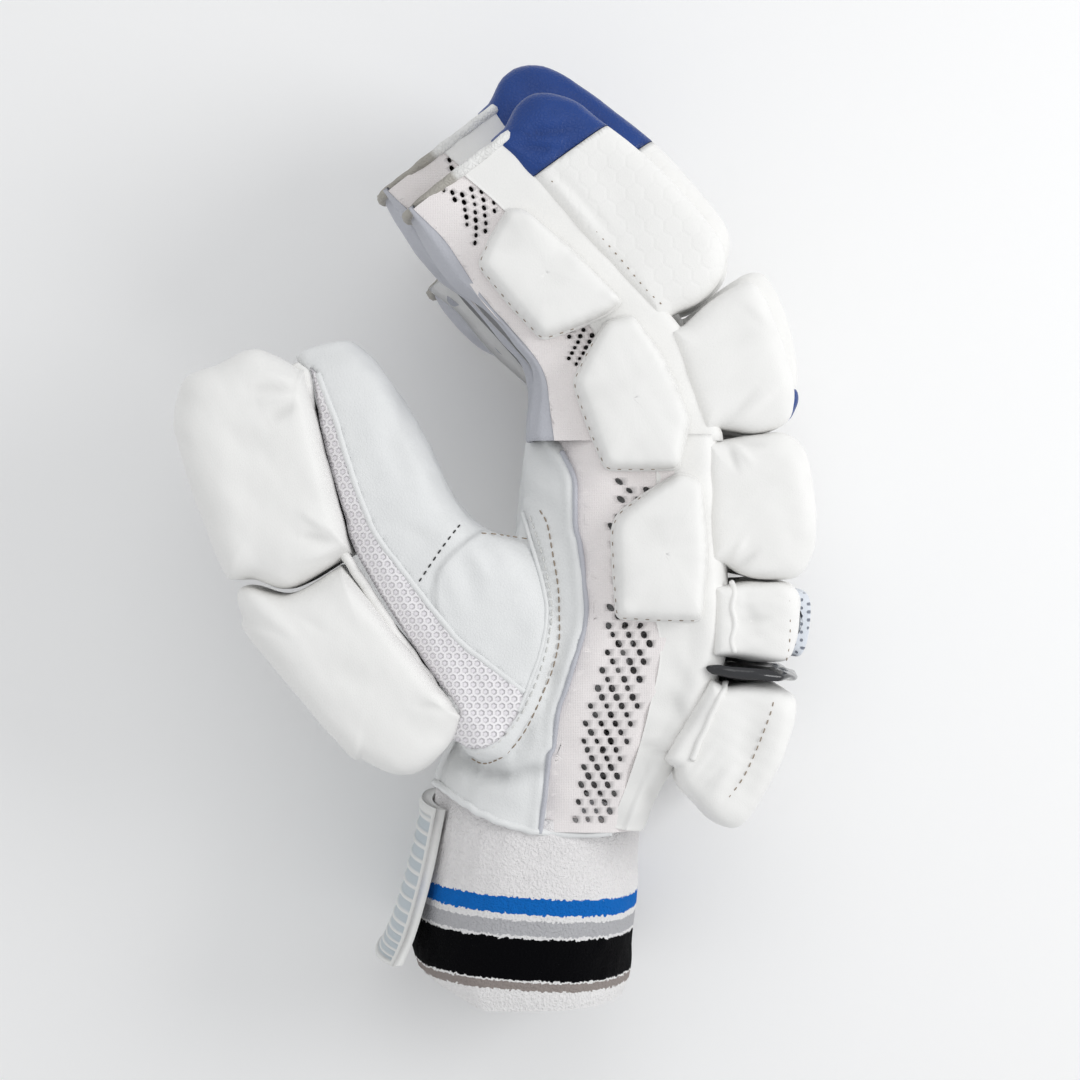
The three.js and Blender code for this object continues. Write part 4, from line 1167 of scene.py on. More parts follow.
def cushion_rings(outline, anchor, middle, width, powers, sides=26, face=26):
    """Rings of a padded form, from its low face to its high face.

    At each level, an angle from -90 to 90 degrees, the outline is drawn towards its anchor by a power of
    the cosine, and the height is half the width times a power of the sine. The angles are even along the
    sides, and over both faces they are those that draw the outline in by even steps."""
    draw, rise = powers
    wall = np.radians(np.linspace(-FACE_FROM, FACE_FROM, sides))
    inward = np.linspace(math.cos(math.radians(FACE_FROM)) ** draw, 0.03, face + 1)[1:]
    over = np.arccos(inward ** (1 / draw))
    angle = np.concatenate([-over[::-1], wall, over])
    keep = np.cos(angle) ** draw
    height = np.sign(np.sin(angle)) * np.abs(np.sin(angle)) ** rise
    place = anchor + (outline[None] - anchor) * keep[:, None, None]
    level = np.broadcast_to((middle + height * width / 2)[:, None, None], place.shape[:2] + (1,))
    return np.concatenate([place, level], -1)


def pad_outline(points, count, sink=PAD_SINK, grow=0.0):
    """A pad's closed outline, its table's smooth curve closed by a base line sunk under the surface, and the
    anchor near that base towards which its faces are drawn."""
    points = np.asarray(points, float)
    middle = points.mean(0)
    radius = np.linalg.norm(points - middle, axis=1, keepdims=True)
    points = points + (points - middle) / radius * grow
    first, last = points[0], points[-1]
    chord = last - first
    out = np.array([chord[1], -chord[0]]) / np.linalg.norm(chord)
    if ((points - first) @ out).sum() < 0:
        out = -out
    height = ((points - first) @ out).max()
    top = spline(points, 200)
    base = np.stack([last - out * sink, first - out * sink])
    anchor = (first + last) / 2 + out * height * ANCHOR_SHARE
    return evenly(np.concatenate([top, base]), count, closed=True), anchor


def add_cushion(name, rings, material, slot, nodes, folds=None, ripple=0.2, seed=1):
    """A pad from its rings, with ripples all over and folds on its high face."""
    normal = outward_normals(rings, ringed=True)
    height = ripple * wander(rings, 16, seed) + 0.2 * ripple * wander(rings, 6, seed + 50)
    upper = smoothstep(-0.1, 0.5, normal[..., 2])
    if folds is not None:
        height = height + fold_field(rings[..., :2], seen_table(folds, PAD_LEVEL)) * upper
    shade = np.clip(-height * 0.25, 0, 0.45)
    points, faces = closed_form(rings + normal * height[..., None])
    piece = add_mesh(name, points, faces, material, {"shade": np.concatenate([shade.ravel(), [0, 0]])})
    return finish_piece(piece, slot, *nodes)


def cut_away(piece, start, end, keep_left, gap):
    """Cuts a pad along a seam of the plan, keeps one side of it, closes the cut and darkens the seam."""
    way = (end - start) / np.linalg.norm(end - start)
    out = np.array([way[1], -way[0]]) * (1 if keep_left else -1)
    place = start - out * gap
    body = bmesh.new()
    body.from_mesh(piece.data)
    cut = bmesh.ops.bisect_plane(
        body, geom=body.verts[:] + body.edges[:] + body.faces[:], dist=0.00002,
        plane_co=(place[0] * MM, place[1] * MM, 0), plane_no=(out[0], out[1], 0), clear_outer=True)
    edges = [part for part in cut["geom_cut"] if isinstance(part, bmesh.types.BMEdge)]
    bmesh.ops.triangle_fill(body, edges=edges, use_beauty=True)
    bmesh.ops.recalc_face_normals(body, faces=body.faces)
    body.to_mesh(piece.data)
    body.free()
    count = len(piece.data.vertices)
    points = np.empty(count * 3)
    piece.data.vertices.foreach_get("co", points)
    away = np.abs((points.reshape(-1, 3)[:, :2] / MM - place) @ out)
    shade = np.empty(count, np.float32)
    values = piece.data.attributes["shade"].data
    values.foreach_get("value", shade)
    values.foreach_set("value", np.maximum(shade, 0.55 * np.exp(-(away / 0.5) ** 2)).astype(np.float32))


# Folds on the pads over the back of the fingers and the hand, in the photograph's pixels: from, to, width
# and height in millimetres
PAD_FOLDS = {
    "index_blue_cap": [(508, 134, 560, 118, 1.3, 0.7), (509, 136, 572, 130, 1.1, -0.7),
                       (512, 139, 566, 140, 1.3, 0.7),
                       (517, 146, 556, 150, 1.0, -0.6), (524, 124, 548, 106, 1.2, 0.6),
                       (530, 128, 560, 108, 1, -0.5),
                       (536, 166, 560, 148, 1.2, 0.6), (552, 158, 576, 138, 1.1, -0.5)],
    "index_pad_tip": [(545, 172, 600, 236, 1.5, 0.5), (556, 170, 618, 240, 1.6, -0.35)],
    "index_pad_middle": [(722, 432, 760, 384, 1.6, -0.5), (728, 428, 772, 392, 1.5, 0.5),
                         (735, 300, 770, 330, 1.8, -0.35)],
    "index_pad_knuckle": [(728, 445, 737, 470, 1.2, -0.7), (732, 441, 752, 462, 1.1, 0.6),
                          (735, 440, 770, 446, 1.3, -0.5), (730, 560, 745, 540, 1.2, 0.7),
                          (737, 570, 757, 552, 1.2, -0.7), (742, 572, 780, 568, 1.3, 0.5)],
    "hand_pad_upper": [(736, 600, 780, 604, 2.0, 0.4), (736, 622, 776, 618, 1.6, -0.5),
                       (736, 648, 782, 640, 2.0, 0.4), (742, 588, 760, 640, 2.0, -0.3)],
    "hand_pad_lower": [(700, 790, 724, 766, 1.2, -0.4), (708, 798, 738, 762, 1.3, 0.4),
                       (690, 780, 716, 742, 1.3, 0.4),
                       (720, 804, 744, 770, 1.2, -0.4), (668, 782, 694, 760, 1.2, 0.4)],
}


# Points round a pad, and rings up its sides and over each face: finer on the finger that the camera sees
PAD_DETAIL = {"index": (160, 22, 20), "rest": (100, 16, 10)}


# Lines of thread and piping on the pads, in the photograph's pixels, each with its pitch, length, radius and
# thread; a line without a pitch is piping
PAD_LINES = {
    "index_pad_tip": [([(549, 178), (580, 213), (618, 256), (645, 288),
                      (664, 306)], 2.7, 0.6, 0.2, "beige_thread")],
    "hand_pad_upper": [
        ([(788, 588), (790, 610), (790, 640), (787, 664)], 2.6, 1.2, 0.18, "beige_thread"),
        ([(732, 582), (736, 592), (732, 606), (735, 622), (731, 640), (735, 652)], 0, 0, 0.8, "white"),
    ],
    "hand_pad_lower": [
        ([(774, 700), (770, 715), (756, 751), (743, 778), (727, 800)], 2.6, 1.5, 0.18, "beige_thread"),
        ([(728, 684), (715, 711), (702, 738), (692, 760)], 0, 0, 0.9, "white"),
    ],
}


def add_pad_lines(node, rings):
    """The threads and the piping that lie on a pad's high face."""
    level = relief_of(rings.reshape(-1, 3))
    for number, (line, pitch, length, radius, material) in enumerate(PAD_LINES.get(node, [])):
        path = laid(line, PAD_LEVEL, level, 0.1)
        if pitch:
            add_stitches(f"{node}_thread_{number}", path, pitch, length, radius, material, "white_leather")
        else:
            piping = tube(f"{node}_piping_{number}", path, radius, radius, MATERIALS[material], waver=0.5)
            finish_piece(piping, "white_leather")


def add_back_pads(name):
    finger = FINGERS[name]
    middle = finger_middle(finger)
    raised = 2.4 if name == "index" else 0
    width = FINGER_WIDTH + raised
    centre = middle + raised / 2
    for row, table in BACK_PADS.items():
        around, sides, face = PAD_DETAIL["index" if name == "index" else "rest"]
        grow = 1.5 if row == "middle" else 1.0
        outline, anchor = pad_outline(finger_plan(finger, table), around, grow=grow)
        rings = cushion_rings(outline, anchor, centre, width, BACK_POWERS, sides, face)
        node = f"{name}_pad_{row}"
        seed = finger["place"] * 7 + len(row)
        if row != "tip":
            folds = PAD_FOLDS.get(node)
            add_cushion(node, rings, MATERIALS["white"], "white_leather", [node], folds, seed=seed)
            continue
        seam = LONG_CAP_SEAM if name == "middle" else BLUE_CAP_SEAM
        start, end = finger_plan(finger, seam)
        folds = PAD_FOLDS.get(node)
        rest = add_cushion(node, rings, MATERIALS["embossed"], "white_leather", [node], folds, seed=seed)
        cut_away(rest, start, end, False, 0.1)
        add_pad_lines(node, rings)
        node = f"{name}_blue_cap"
        folds = PAD_FOLDS.get(node)
        cap = add_cushion(node, rings, MATERIALS["blue"], "blue_leather", [node], folds, ripple=0.4,
                          seed=seed + 3)
        cut_away(cap, start, end, True, 0.1)
    if name == "middle":
        outline, anchor = pad_outline(finger_plan(finger, BLUE_BAND), 90, grow=-1)
        rings = cushion_rings(outline, anchor, middle, FINGER_WIDTH, BACK_POWERS, 16, 8)
        node = "middle_blue_band"
        add_cushion(node, rings, MATERIALS["blue"], "blue_leather", [node], seed=3)


def add_hand_pads():
    middle = (STACK_LOW + STACK_HIGH) / 2
    width = STACK_HIGH - STACK_LOW
    for name, table in HAND_PADS.items():
        outline, anchor = pad_outline(plan(table), 180, grow=0.9)
        rings = cushion_rings(outline, anchor, middle + 1, width + 2, HAND_POWERS, sides=40, face=20)
        add_cushion(name, rings, MATERIALS["white"], "white_leather", [name], PAD_FOLDS[name], ripple=0.35,
                    seed=len(name))
        add_pad_lines(name, rings)
    outline = evenly(spline(plan(VENT_PANEL), 200, closed=True), 100, closed=True)
    rings = cushion_rings(outline, outline.mean(0), middle, width * VENT_LOOK_SHARE, VENT_POWERS, sides=30, face=4)
    points, faces = closed_form(rings)
    vent = add_mesh("vent_panel", points, faces, MATERIALS["vent"], {"shade": np.zeros(len(points))})
    finish_piece(vent, "white_leather", "vent_panel")
    add_roll(middle, width)


def add_roll(middle, width):
    """The shiny roll across the back of the hand: a flat tube whose reach falls off at its two ends, with a
    groove along it that parts two ridges."""
    inner, outer = plan(ROLL)
    side = np.linspace(-1, 1, 60)
    reach = 1 - ROLL_TAPER * side ** 6
    angle = np.linspace(0, 2 * math.pi, 48, endpoint=False)
    tip = inner[None] + (outer - inner)[None] * reach[:, None]
    half = (tip - inner)[:, None] / 2
    centre = (tip + inner)[:, None] / 2
    squared = np.sign(np.cos(angle)) * np.abs(np.cos(angle)) ** 0.5
    place = centre + half * squared[None, :, None]
    thick = (ROLL_DIAMETER / 2 - 0.15) * np.sin(angle)
    place = place + np.stack([np.zeros(48), thick], -1)[None]
    level = np.broadcast_to((middle + side * (width / 2 + 1.4))[:, None, None], place.shape[:2] + (1,))
    rings = np.concatenate([place, level], -1)
    rings[..., 1] += 0.6 * wander(rings, 12, 4) + 0.25 * wander(rings, 5, 5)
    points, faces = closed_form(rings)
    piece = add_mesh("piping_roll", points, faces, MATERIALS["piping"])
    finish_piece(piece, "black_piping", "piping_roll")


# A side pad's profile from its flange inwards: share of the rise, and how far out of its outline
SIDE_PROFILE = [(0, 0), (0.03, 0.8), (0.09, 1.3), (0.13, 1.0), (0.16, 0.5), (0.3, 0.5), (0.5, 0.35),
                (0.68, 0.0),
                (0.82, -0.7), (0.91, -1.7), (0.95, -2.9), (0.975, -4.6), (0.99, -7), (1, -10), (1, -14),
                (1, -19)]


# From where to where, as shares of its outline, each side pad's flange shows its stitches
SIDE_STITCHES = {"side_pad_tip": (0.1, 0.5), "side_pad_middle": (0.05, 0.5), "side_pad_knuckle": (0.1, 0.62)}


def add_side_pad(name, outline, seat, face):
    """A side pad: a domed cushion, puckered along the seam flange that turns out flat round it."""
    profile = spline(np.array(SIDE_PROFILE), 34)
    up = 1 if face > seat else -1
    centre = outline.mean(0)
    radius = np.linalg.norm(outline - centre, axis=1, keepdims=True)
    way = (outline - centre) / radius
    place = centre + way * np.maximum(radius + profile[:, 1, None, None], radius * 0.04)
    rise = np.broadcast_to(profile[:, 0, None, None], place.shape[:2] + (1,))
    run = np.linspace(0, 1, len(outline), endpoint=False)
    length = np.linalg.norm(np.diff(outline, axis=0), axis=1).sum()
    puckers = np.sin(2 * math.pi * np.round(length / 4.2) * run + 2.2 * wander(outline, 16, len(name)))
    near = np.exp(-((profile[:, 0] - 0.45) / 0.28) ** 2)
    soft = 0.2 * wander(place, 22, len(name)) + 0.05 * wander(place, 8, len(name) + 3)
    lift = 0.22 * puckers[None] * near[:, None] + soft * smoothstep(0.2, 0.7, profile[:, 0])[:, None]
    if up < 0:
        lift = np.minimum(lift, 0)
    rings = np.concatenate([place, seat + (face - seat) * rise + up * lift[..., None]], -1)
    rings[..., 2] = np.maximum(rings[..., 2], 0)
    points, faces = closed_form(rings)
    shade = 0.2 * np.exp(-((profile[:, 1] - 1.0) / 0.4) ** 2)[:, None] + np.clip(-0.5 * lift, 0, 0.3)
    shades = np.concatenate([shade.ravel(), [0, 0]])
    piece = add_mesh(name, points, faces, MATERIALS["white"], {"shade": shades})
    finish_piece(piece, "white_leather", name)
    if up > 0:
        first, last = SIDE_STITCHES[name.split("_", 1)[1]]
        edge = (centre + way * (radius + 0.7))[int(first * len(outline)):int(last * len(outline))]
        path = np.column_stack([edge, np.full(len(edge), seat + 1.6)])
        add_stitches(f"{name}_stitches", path, 3.2, 1.3, 0.16, "beige_thread", "white_leather")


def soft_corners(corners, count, reach):
    """A polygon at evenly spread points, its corners rounded by a running mean of twice reach points."""
    outline = evenly(corners, count, closed=True)
    return np.mean([np.roll(outline, step, axis=0) for step in range(-reach, reach + 1)], axis=0)


def add_side_pads():
    high_seat = STACK_HIGH + CLEARANCE
    sides = (("index", high_seat, high_seat + SIDE_PAD_THICKNESS), ("little", SIDE_PAD_THICKNESS, 0))
    for name, table in SIDE_PADS.items():
        for finger, seat, face in sides:
            corners = finger_plan(FINGERS[finger], table)
            outline = soft_corners(corners, 180, 3)
            add_side_pad(f"{finger}_{name}", outline, seat, face)


# Threads and edges laid on a surface

def path_frames(path):
    """For each point of a path, a level vector to its side and one up from it."""
    along = np.gradient(path, axis=-2)
    along /= np.maximum(np.linalg.norm(along, axis=-1, keepdims=True), 1e-9)
    side = np.cross(along, (0, 0, 1))
    side /= np.maximum(np.linalg.norm(side, axis=-1, keepdims=True), 1e-9)
    return side, np.cross(side, along)


def tube(name, path, wide, tall, material, waver=0.0, around=14):
    """A flattened tube carried along a path, wavering from side to side."""
    side, up = path_frames(path)
    angle = np.linspace(0, 2 * math.pi, around, endpoint=False)
    path = path + side * (waver * wander(path, 6, 2))[:, None]
    rings = (path[:, None] + side[:, None] * (np.cos(angle) * wide)[None, :, None]
             + up[:, None] * (np.sin(angle) * tall)[None, :, None])
    points, faces = closed_form(rings)
    attributes = {"shade": np.zeros(len(points)), "beige": np.ones(len(points))}
    return add_mesh(name, points, faces, material, attributes)


def join_points(forms):
    """Several closed forms as one list of points and one of faces."""
    points, faces, start = [], [], 0
    for some_points, some_faces in forms:
        points.append(some_points)
        faces += [[number + start for number in face] for face in some_faces]
        start += len(some_points)
    return np.concatenate(points), faces


def add_stitches(name, path, pitch, length, radius, material, slot):
    """Stitches along a path in space: each a short thread, thick in its middle and sunk at both ends."""
    run = np.concatenate([[0], np.cumsum(np.linalg.norm(np.diff(path, axis=0), axis=1))])
    count = max(int(run[-1] / pitch), 1)
    share = np.linspace(-0.5, 0.5, 7)
    at = ((np.arange(count) + 0.5) * run[-1] / count)[:, None] + share * length
    middle = np.stack([np.interp(at, run, path[:, axis]) for axis in range(3)], -1)
    middle[..., 2] -= 2.5 * radius * (2 * share) ** 4
    side, up = path_frames(middle)
    angle = np.linspace(0, 2 * math.pi, 6, endpoint=False)
    thick = radius * np.sqrt(1 - 0.8 * (2 * share) ** 4)
    cosine, sine = np.cos(angle)[None, None, :, None], np.sin(angle)[None, None, :, None]
    rings = middle[:, :, None] + thick[None, :, None, None] * (
        side[:, :, None] * cosine + up[:, :, None] * sine)
    points, faces = join_points([closed_form(stitch) for stitch in rings])
    piece = add_mesh(name, points, faces, MATERIALS[material])
    return finish_piece(piece, slot)


def relief_of(points, cell=1.5):
    """The height of a surface's upper side over the plan: the highest point in each square cell, spread to
    the cells that have none and smoothed. Returns a function that reads it between the cells."""
    low = points[:, :2].min(0) - 8 * cell
    size = np.ceil((points[:, :2].max(0) + 8 * cell - low) / cell).astype(int)
    grid = np.full(size, -1.0)
    column = ((points[:, :2] - low) / cell).astype(int)
    np.maximum.at(grid, (column[:, 0], column[:, 1]), points[:, 2])
    for _ in range(8):
        around = np.stack([np.roll(grid, step, axis) for step in (1, -1) for axis in (0, 1)])
        grid = np.where(grid < 0, around.max(0), grid)
    for _ in range(2):
        around = np.stack([np.roll(grid, step, axis) for step in (1, -1) for axis in (0, 1)])
        grid = (2 * grid + around.sum(0)) / 6

    def level(place):
        spot = np.clip((place - low) / cell - 0.5, 0, np.array(grid.shape) - 1.001)
        corner = spot.astype(int)
        x, y = spot[..., 0] - corner[..., 0], spot[..., 1] - corner[..., 1]
        i, j = corner[..., 0], corner[..., 1]
        lower = grid[i, j] * (1 - x) + grid[i + 1, j] * x
        upper = grid[i, j + 1] * (1 - x) + grid[i + 1, j + 1] * x
        return lower * (1 - y) + upper * y
    return level


def laid(points, height, level, lift, step=0.6):
    """A curve through the photograph's points, laid on a surface and lifted off it."""
    curve = seen(spline(points, 40 * len(points)), height)
    length = np.linalg.norm(np.diff(curve, axis=0), axis=1).sum()
    curve = evenly(curve, max(int(length / step), 4))
    return np.column_stack([curve, level(curve) + lift])


# The palm and the thumb

def hand_rings():
    sections = tube_sections(None, 120)
    return whole_ring(np.vstack([sections, beyond(sections, 7)]), 0, 140)


def thumb_sections(count=80):
    table = np.column_stack([
        plan(THUMB[:, 0:2]), plan(THUMB[:, 2:4]),
        THUMB_MIDDLE - THUMB[:, 4] * THUMB_WIDTH / 2, THUMB_MIDDLE + THUMB[:, 4] * THUMB_WIDTH / 2])
    return spline(table, count)


THUMB_CORNERS = [(0, -0.55), (0, 0.55), (0.06, 0.86), (0.2, 1), (0.72, 1), (0.9, 0.82), (1, 0.4), (1, -0.4),
                 (0.9, -0.82), (0.72, -1), (0.2, -1), (0.06, -0.86)]


THUMB_SIZE = (32, 20)


def thumb_rings():
    return smoothed_rings(thumb_sections(), THUMB_CORNERS, THUMB_SIZE, 400, 90, 0)


# Folds of the palm, in the photograph's pixels: from, to, width and height in millimetres
PALM_FOLDS = [
    (499, 526, 531, 533, 1.8, 1.1), (457, 756, 478, 776, 2.2, -3.0), (474, 776, 510, 780, 2.2, -3.2),
    (500, 780, 545, 770, 2.2, -2.6), (470, 790, 540, 800, 6.0, 1.6), (462, 520, 500, 500, 2.5, 0.7),
    (474, 536, 500, 566, 1.5, -0.6), (482, 534, 512, 560, 1.4, 0.6), (468, 544, 492, 586, 1.6, 0.6),
    (460, 556, 478, 600, 1.8, -0.5), (500, 536, 526, 556, 1.3, -0.5), (446, 566, 462, 610, 2.0, 0.5),
    (526, 470, 566, 500, 2.2, 0.6), (520, 484, 560, 516, 2.0, -0.6), (536, 452, 570, 474, 2.4, -0.6),
    (540, 700, 532, 772, 3.0, 0.8), (552, 700, 540, 776, 2.2, -0.7),
    (382, 420, 420, 500, 3.5, -0.5), (360, 400, 396, 480, 4.0, 0.5), (400, 520, 440, 548, 2.2, -0.4),
]
SKIN_VOXEL = 1.25

# The palm's seams: name, line, pitch, length, radius and thread
PALM_STITCHES = [
    ("patch_stitches_0", PATCH_STITCHES[0], 2.7, 1.9, 0.22, "white_thread"),
    ("patch_stitches_1", PATCH_STITCHES[1], 2.7, 1.9, 0.22, "beige_thread"),
    ("flap_stitches", FLAP_SEAM, 2.6, 1.6, 0.2, "beige_thread"),
    ("cross_stitches", CROSS_SEAM, 2.4, 1.5, 0.25, "dark_thread"),
]
# The palm's raised edges: name, line, level, lift, half width, half height, material and waver
PALM_EDGES = [
    ("patch_welt", PATCH[2:9], GUSSET_LEVEL, 0.1, 0.6, 0.6, "palm", 0.1),
    ("seam_edge", KNIT_SEAM[1:], GUSSET_LEVEL, 0.1, 0.8, 1.4, "inner", 0.1),
    ("palm_hem", HEM[1:-1], HEM_LEVEL, -0.2, 1.1, 1.3, "palm", 0.2),
]

# Where the palm's skin ends, in per cent: the fingers' root, and the line past which the back begins
FINGER_ROOT = 60.3
PALM_END = [(80, 66), (70, 45), (66, 30), (60, 10)]


def remeshed(points, faces):
    """The union of closed forms as one even mesh: its points, its quads and its normals, relaxed."""
    piece = add_mesh("union", points, faces, MATERIALS["palm"])
    remesh = piece.modifiers.new("union", "REMESH")
    remesh.mode = "VOXEL"
    remesh.voxel_size = SKIN_VOXEL * MM
    relax = piece.modifiers.new("relax", "SMOOTH")
    relax.factor = 0.5
    relax.iterations = 12
    bpy.context.view_layer.update()
    evaluated = piece.evaluated_get(bpy.context.evaluated_depsgraph_get()).to_mesh()
    count = len(evaluated.vertices)
    place = np.empty(count * 3)
    evaluated.vertices.foreach_get("co", place)
    normal = np.empty(count * 3)
    evaluated.vertices.foreach_get("normal", normal)
    corners = np.empty(len(evaluated.loops), np.int32)
    evaluated.loops.foreach_get("vertex_index", corners)
    bpy.data.objects.remove(piece)
    return place.reshape(-1, 3) / MM, corners.reshape(-1, 4), normal.reshape(-1, 3)


def nearest_on(points, path):
    """The nearest point of a path to each point of the plan."""
    best = np.full(len(points), 1e9)
    found = np.zeros((len(points), 2))
    for start, end in zip(path[:-1], path[1:]):
        distance, share = to_segment(points, start, end)
        nearer = distance < best
        best = np.where(nearer, distance, best)
        found[nearer] = (start + share[:, None] * (end - start))[nearer]
    return found


def trim(place, quads, path, keep_side):
    """Drops the quads past a path of the plan and draws the last points past it back onto it."""
    distance, _, side = to_path(place[:, :2], path)
    past = -distance * side * keep_side
    kept = quads[(past[quads] < 1.4 * SKIN_VOXEL).all(axis=1)]
    drawn = (past > 0) & (past < 1.5 * SKIN_VOXEL)
    place[drawn, :2] = nearest_on(place[drawn, :2], path)
    return kept


def add_palm():
    """The palm and the thumb as one skin: the union of the hand's and the thumb's forms is remeshed,
    relaxed, displaced by its patch, seams and folds, and trimmed where the wrist and the fingers begin."""
    place, quads, normal = remeshed(*join_points([closed_form(hand_rings()), closed_form(thumb_rings())]))
    level = relief_of(place[normal[:, 2] > 0.1])
    flat = place[:, :2]
    upper = smoothstep(0.0, 0.5, normal[:, 2])

    seam = seen(spline(KNIT_SEAM, 60), GUSSET_LEVEL)
    to_seam, _, seam_side = to_path(flat, seam)
    past_seam = to_seam * seam_side
    patch = seen(spline(PATCH, 90, closed=True), GUSSET_LEVEL)
    to_patch = to_path(flat, np.vstack([patch, patch[:1]]))[0]
    within_patch = np.where(inside(flat, patch), to_patch, -to_patch)
    within_mesh = inside(flat, seen(MESH_LEFT + MESH_FOOT + MESH_RIGHT[::-1], THUMB_LEVEL))
    hem = seen(spline(HEM, 60), HEM_LEVEL)
    to_hem = to_path(flat, hem)[0]

    height = 0.4 * wander(place, 20, 12) + 0.16 * wander(place, 8, 13)
    height += fold_field(flat, seen_table(PALM_FOLDS, GUSSET_LEVEL)) * upper
    height += 0.9 * smoothstep(-0.7, 0.7, within_patch) * upper
    height += 1.0 * np.exp(-((past_seam + 1.9) / 1.4) ** 2) * upper
    height -= 2.6 * smoothstep(-0.6, 1.2, past_seam) * (flat[:, 0] > 5) * upper
    height -= 1.0 * within_mesh * upper
    height += 1.6 * np.exp(-(to_hem / 9) ** 2)
    height = np.where(normal[:, 2] < -0.2, np.minimum(height, 0), height)
    shade = np.clip(-height * 0.12, 0, 0.3) + 0.35 * np.exp(-(within_patch / 0.6) ** 2) * upper
    shade = np.where(past_seam > 2, 0.2, shade)
    moved = place + normal * height[:, None]
    moved[:, 2] = np.maximum(moved[:, 2], LEATHER)
    surface = relief_of(moved[normal[:, 2] > 0.1])

    quads = trim(moved, quads, hem, 1)
    root = plan((0, FINGER_ROOT))[1]
    on_hand = place[:, 0] > 2
    quads = quads[(on_hand[quads] & (place[quads][..., 1] > root)).sum(axis=1) == 0]
    quads = trim(moved, quads, plan(PALM_END)[::-1], 1)
    used, faces = np.unique(quads, return_inverse=True)
    piece = add_mesh("hand_palm_leather", moved[used], faces.reshape(quads.shape).tolist(), MATERIALS["palm"],
                     {"shade": shade[used]})
    solid = piece.modifiers.new("wall", "SOLIDIFY")
    solid.thickness = LEATHER * MM
    solid.offset = -1
    finish_piece(piece, "palm_leather", "hand_palm_leather", "thumb_leather")
    add_mesh_panel(surface)
    for name, line, pitch, length, radius, thread in PALM_STITCHES:
        path = laid(line, GUSSET_LEVEL, surface, 0.15)
        add_stitches(name, path, pitch, length, radius, thread, "palm_leather")
    for name, line, level_seen, lift, wide, tall, leather_name, waver in PALM_EDGES:
        path = laid(line, level_seen, surface, lift)
        finish_piece(tube(name, path, wide, tall, MATERIALS[leather_name], waver=waver), "palm_leather")
    return level, surface


# Rows of points along the air mesh, and how far apart they lie in millimetres
MESH_ROWS = 160
MESH_STEP = 0.9


def add_mesh_panel(surface):
    """The air mesh beside the thumb: a sheet between its edges, laid on the skin and tucked in all round."""
    edges = (MESH_LEFT + MESH_FOOT[:2], MESH_RIGHT + MESH_FOOT[3:1:-1])
    left, right = (evenly(seen(spline(edge, 300), THUMB_LEVEL), MESH_ROWS) for edge in edges)
    share = np.linspace(0, 1, 44)[None, :, None]
    place = left[:, None] * (1 - share) + right[:, None] * share
    width = np.linalg.norm(right - left, axis=1)[:, None]
    inward = np.minimum(share[..., 0], 1 - share[..., 0]) * width
    ends = np.minimum(np.arange(MESH_ROWS), np.arange(MESH_ROWS)[::-1])[:, None] * MESH_STEP
    inward = np.minimum(inward, ends)
    rise = 1.3 * smoothstep(0, 1.6, inward)
    outer = np.concatenate([place, (surface(place) + rise + 0.2 * wander(place, 9, 5))[..., None]], -1)
    inner = outer - np.array([0, 0, 1.6])
    points, faces = wall_form(outer, inner)
    shade = np.concatenate([0.5 * np.exp(-(inward / 0.9) ** 2).ravel(), np.ones(inward.size)])
    piece = add_mesh("thumb_mesh", points, faces, MATERIALS["air_mesh"], {"shade": shade})
    finish_piece(piece, "thumb_mesh", "thumb_mesh")
    path = laid(MESH_RIGHT, THUMB_LEVEL, surface, 0.5)
    finish_piece(tube("mesh_welt", path, 0.9, 0.9, MATERIALS["palm"], waver=0.15), "palm_leather")


# Folds of the thumb's pads, as those of the back's pads
THUMB_FOLDS = {
    "thumb_pad_upper": [(296, 384, 262, 372, 1.5, 0.8), (297, 388, 250, 388, 1.6, -0.9),
                        (298, 394, 256, 404, 1.6, 0.8),
                        (300, 402, 270, 422, 1.6, -0.7), (336, 548, 300, 560, 1.5, 0.8),
                        (334, 541, 300, 536, 1.5, -0.8),
                        (330, 530, 302, 512, 1.5, 0.7), (215, 420, 240, 560, 4, 0.5)],
    "thumb_pad_lower": [(452, 704, 424, 690, 1.5, 0.7), (450, 708, 414, 704, 1.5, -0.7),
                        (250, 600, 300, 640, 2, 0.6),
                        (262, 592, 330, 634, 2, -0.5)],
}


def add_thumb_pads():
    for name, table in THUMB_PADS.items():
        points = plan(table)
        grow = 1.6 if name == "thumb_pad_lower" else 0.9
        outline, anchor = pad_outline(np.concatenate([points[1:], points[:1]]), 200, sink=1, grow=grow)
        rings = cushion_rings(outline, anchor, THUMB_MIDDLE, THUMB_PAD_WIDTH, THUMB_POWERS, sides=34, face=30)
        add_cushion(name, rings, MATERIALS["white"], "white_leather", [name], THUMB_FOLDS[name], ripple=0.22,
                    seed=len(name) * 3)


# How far the thumb's edge may sink below its highest point
BINDING_FALL = 10


def add_binding(surface):
    """The raised leather edge along the thumb's pads, a flattened tube on a wavering path."""
    path = laid(THUMB_EDGE, THUMB_LEVEL, surface, 0.8)
    path[:, 2] = np.maximum(path[:, 2], path[:, 2].max() - BINDING_FALL)
    piece = tube("thumb_binding", path, 1.5, 1.8, MATERIALS["white"], waver=0.25)
    finish_piece(piece, "white_leather", "thumb_binding")


# The cuff and the strap's end

def cuff_sections(count=90):
    rows = np.column_stack([
        plan(CUFF[:, 0:2]), plan(CUFF[:, 2:4]), CUFF_HEIGHT * (1 - CUFF[:, 4]) / 2 - CUFF_WALL,
        CUFF_HEIGHT * (1 + CUFF[:, 4]) / 2])
    return spline(rows, count)


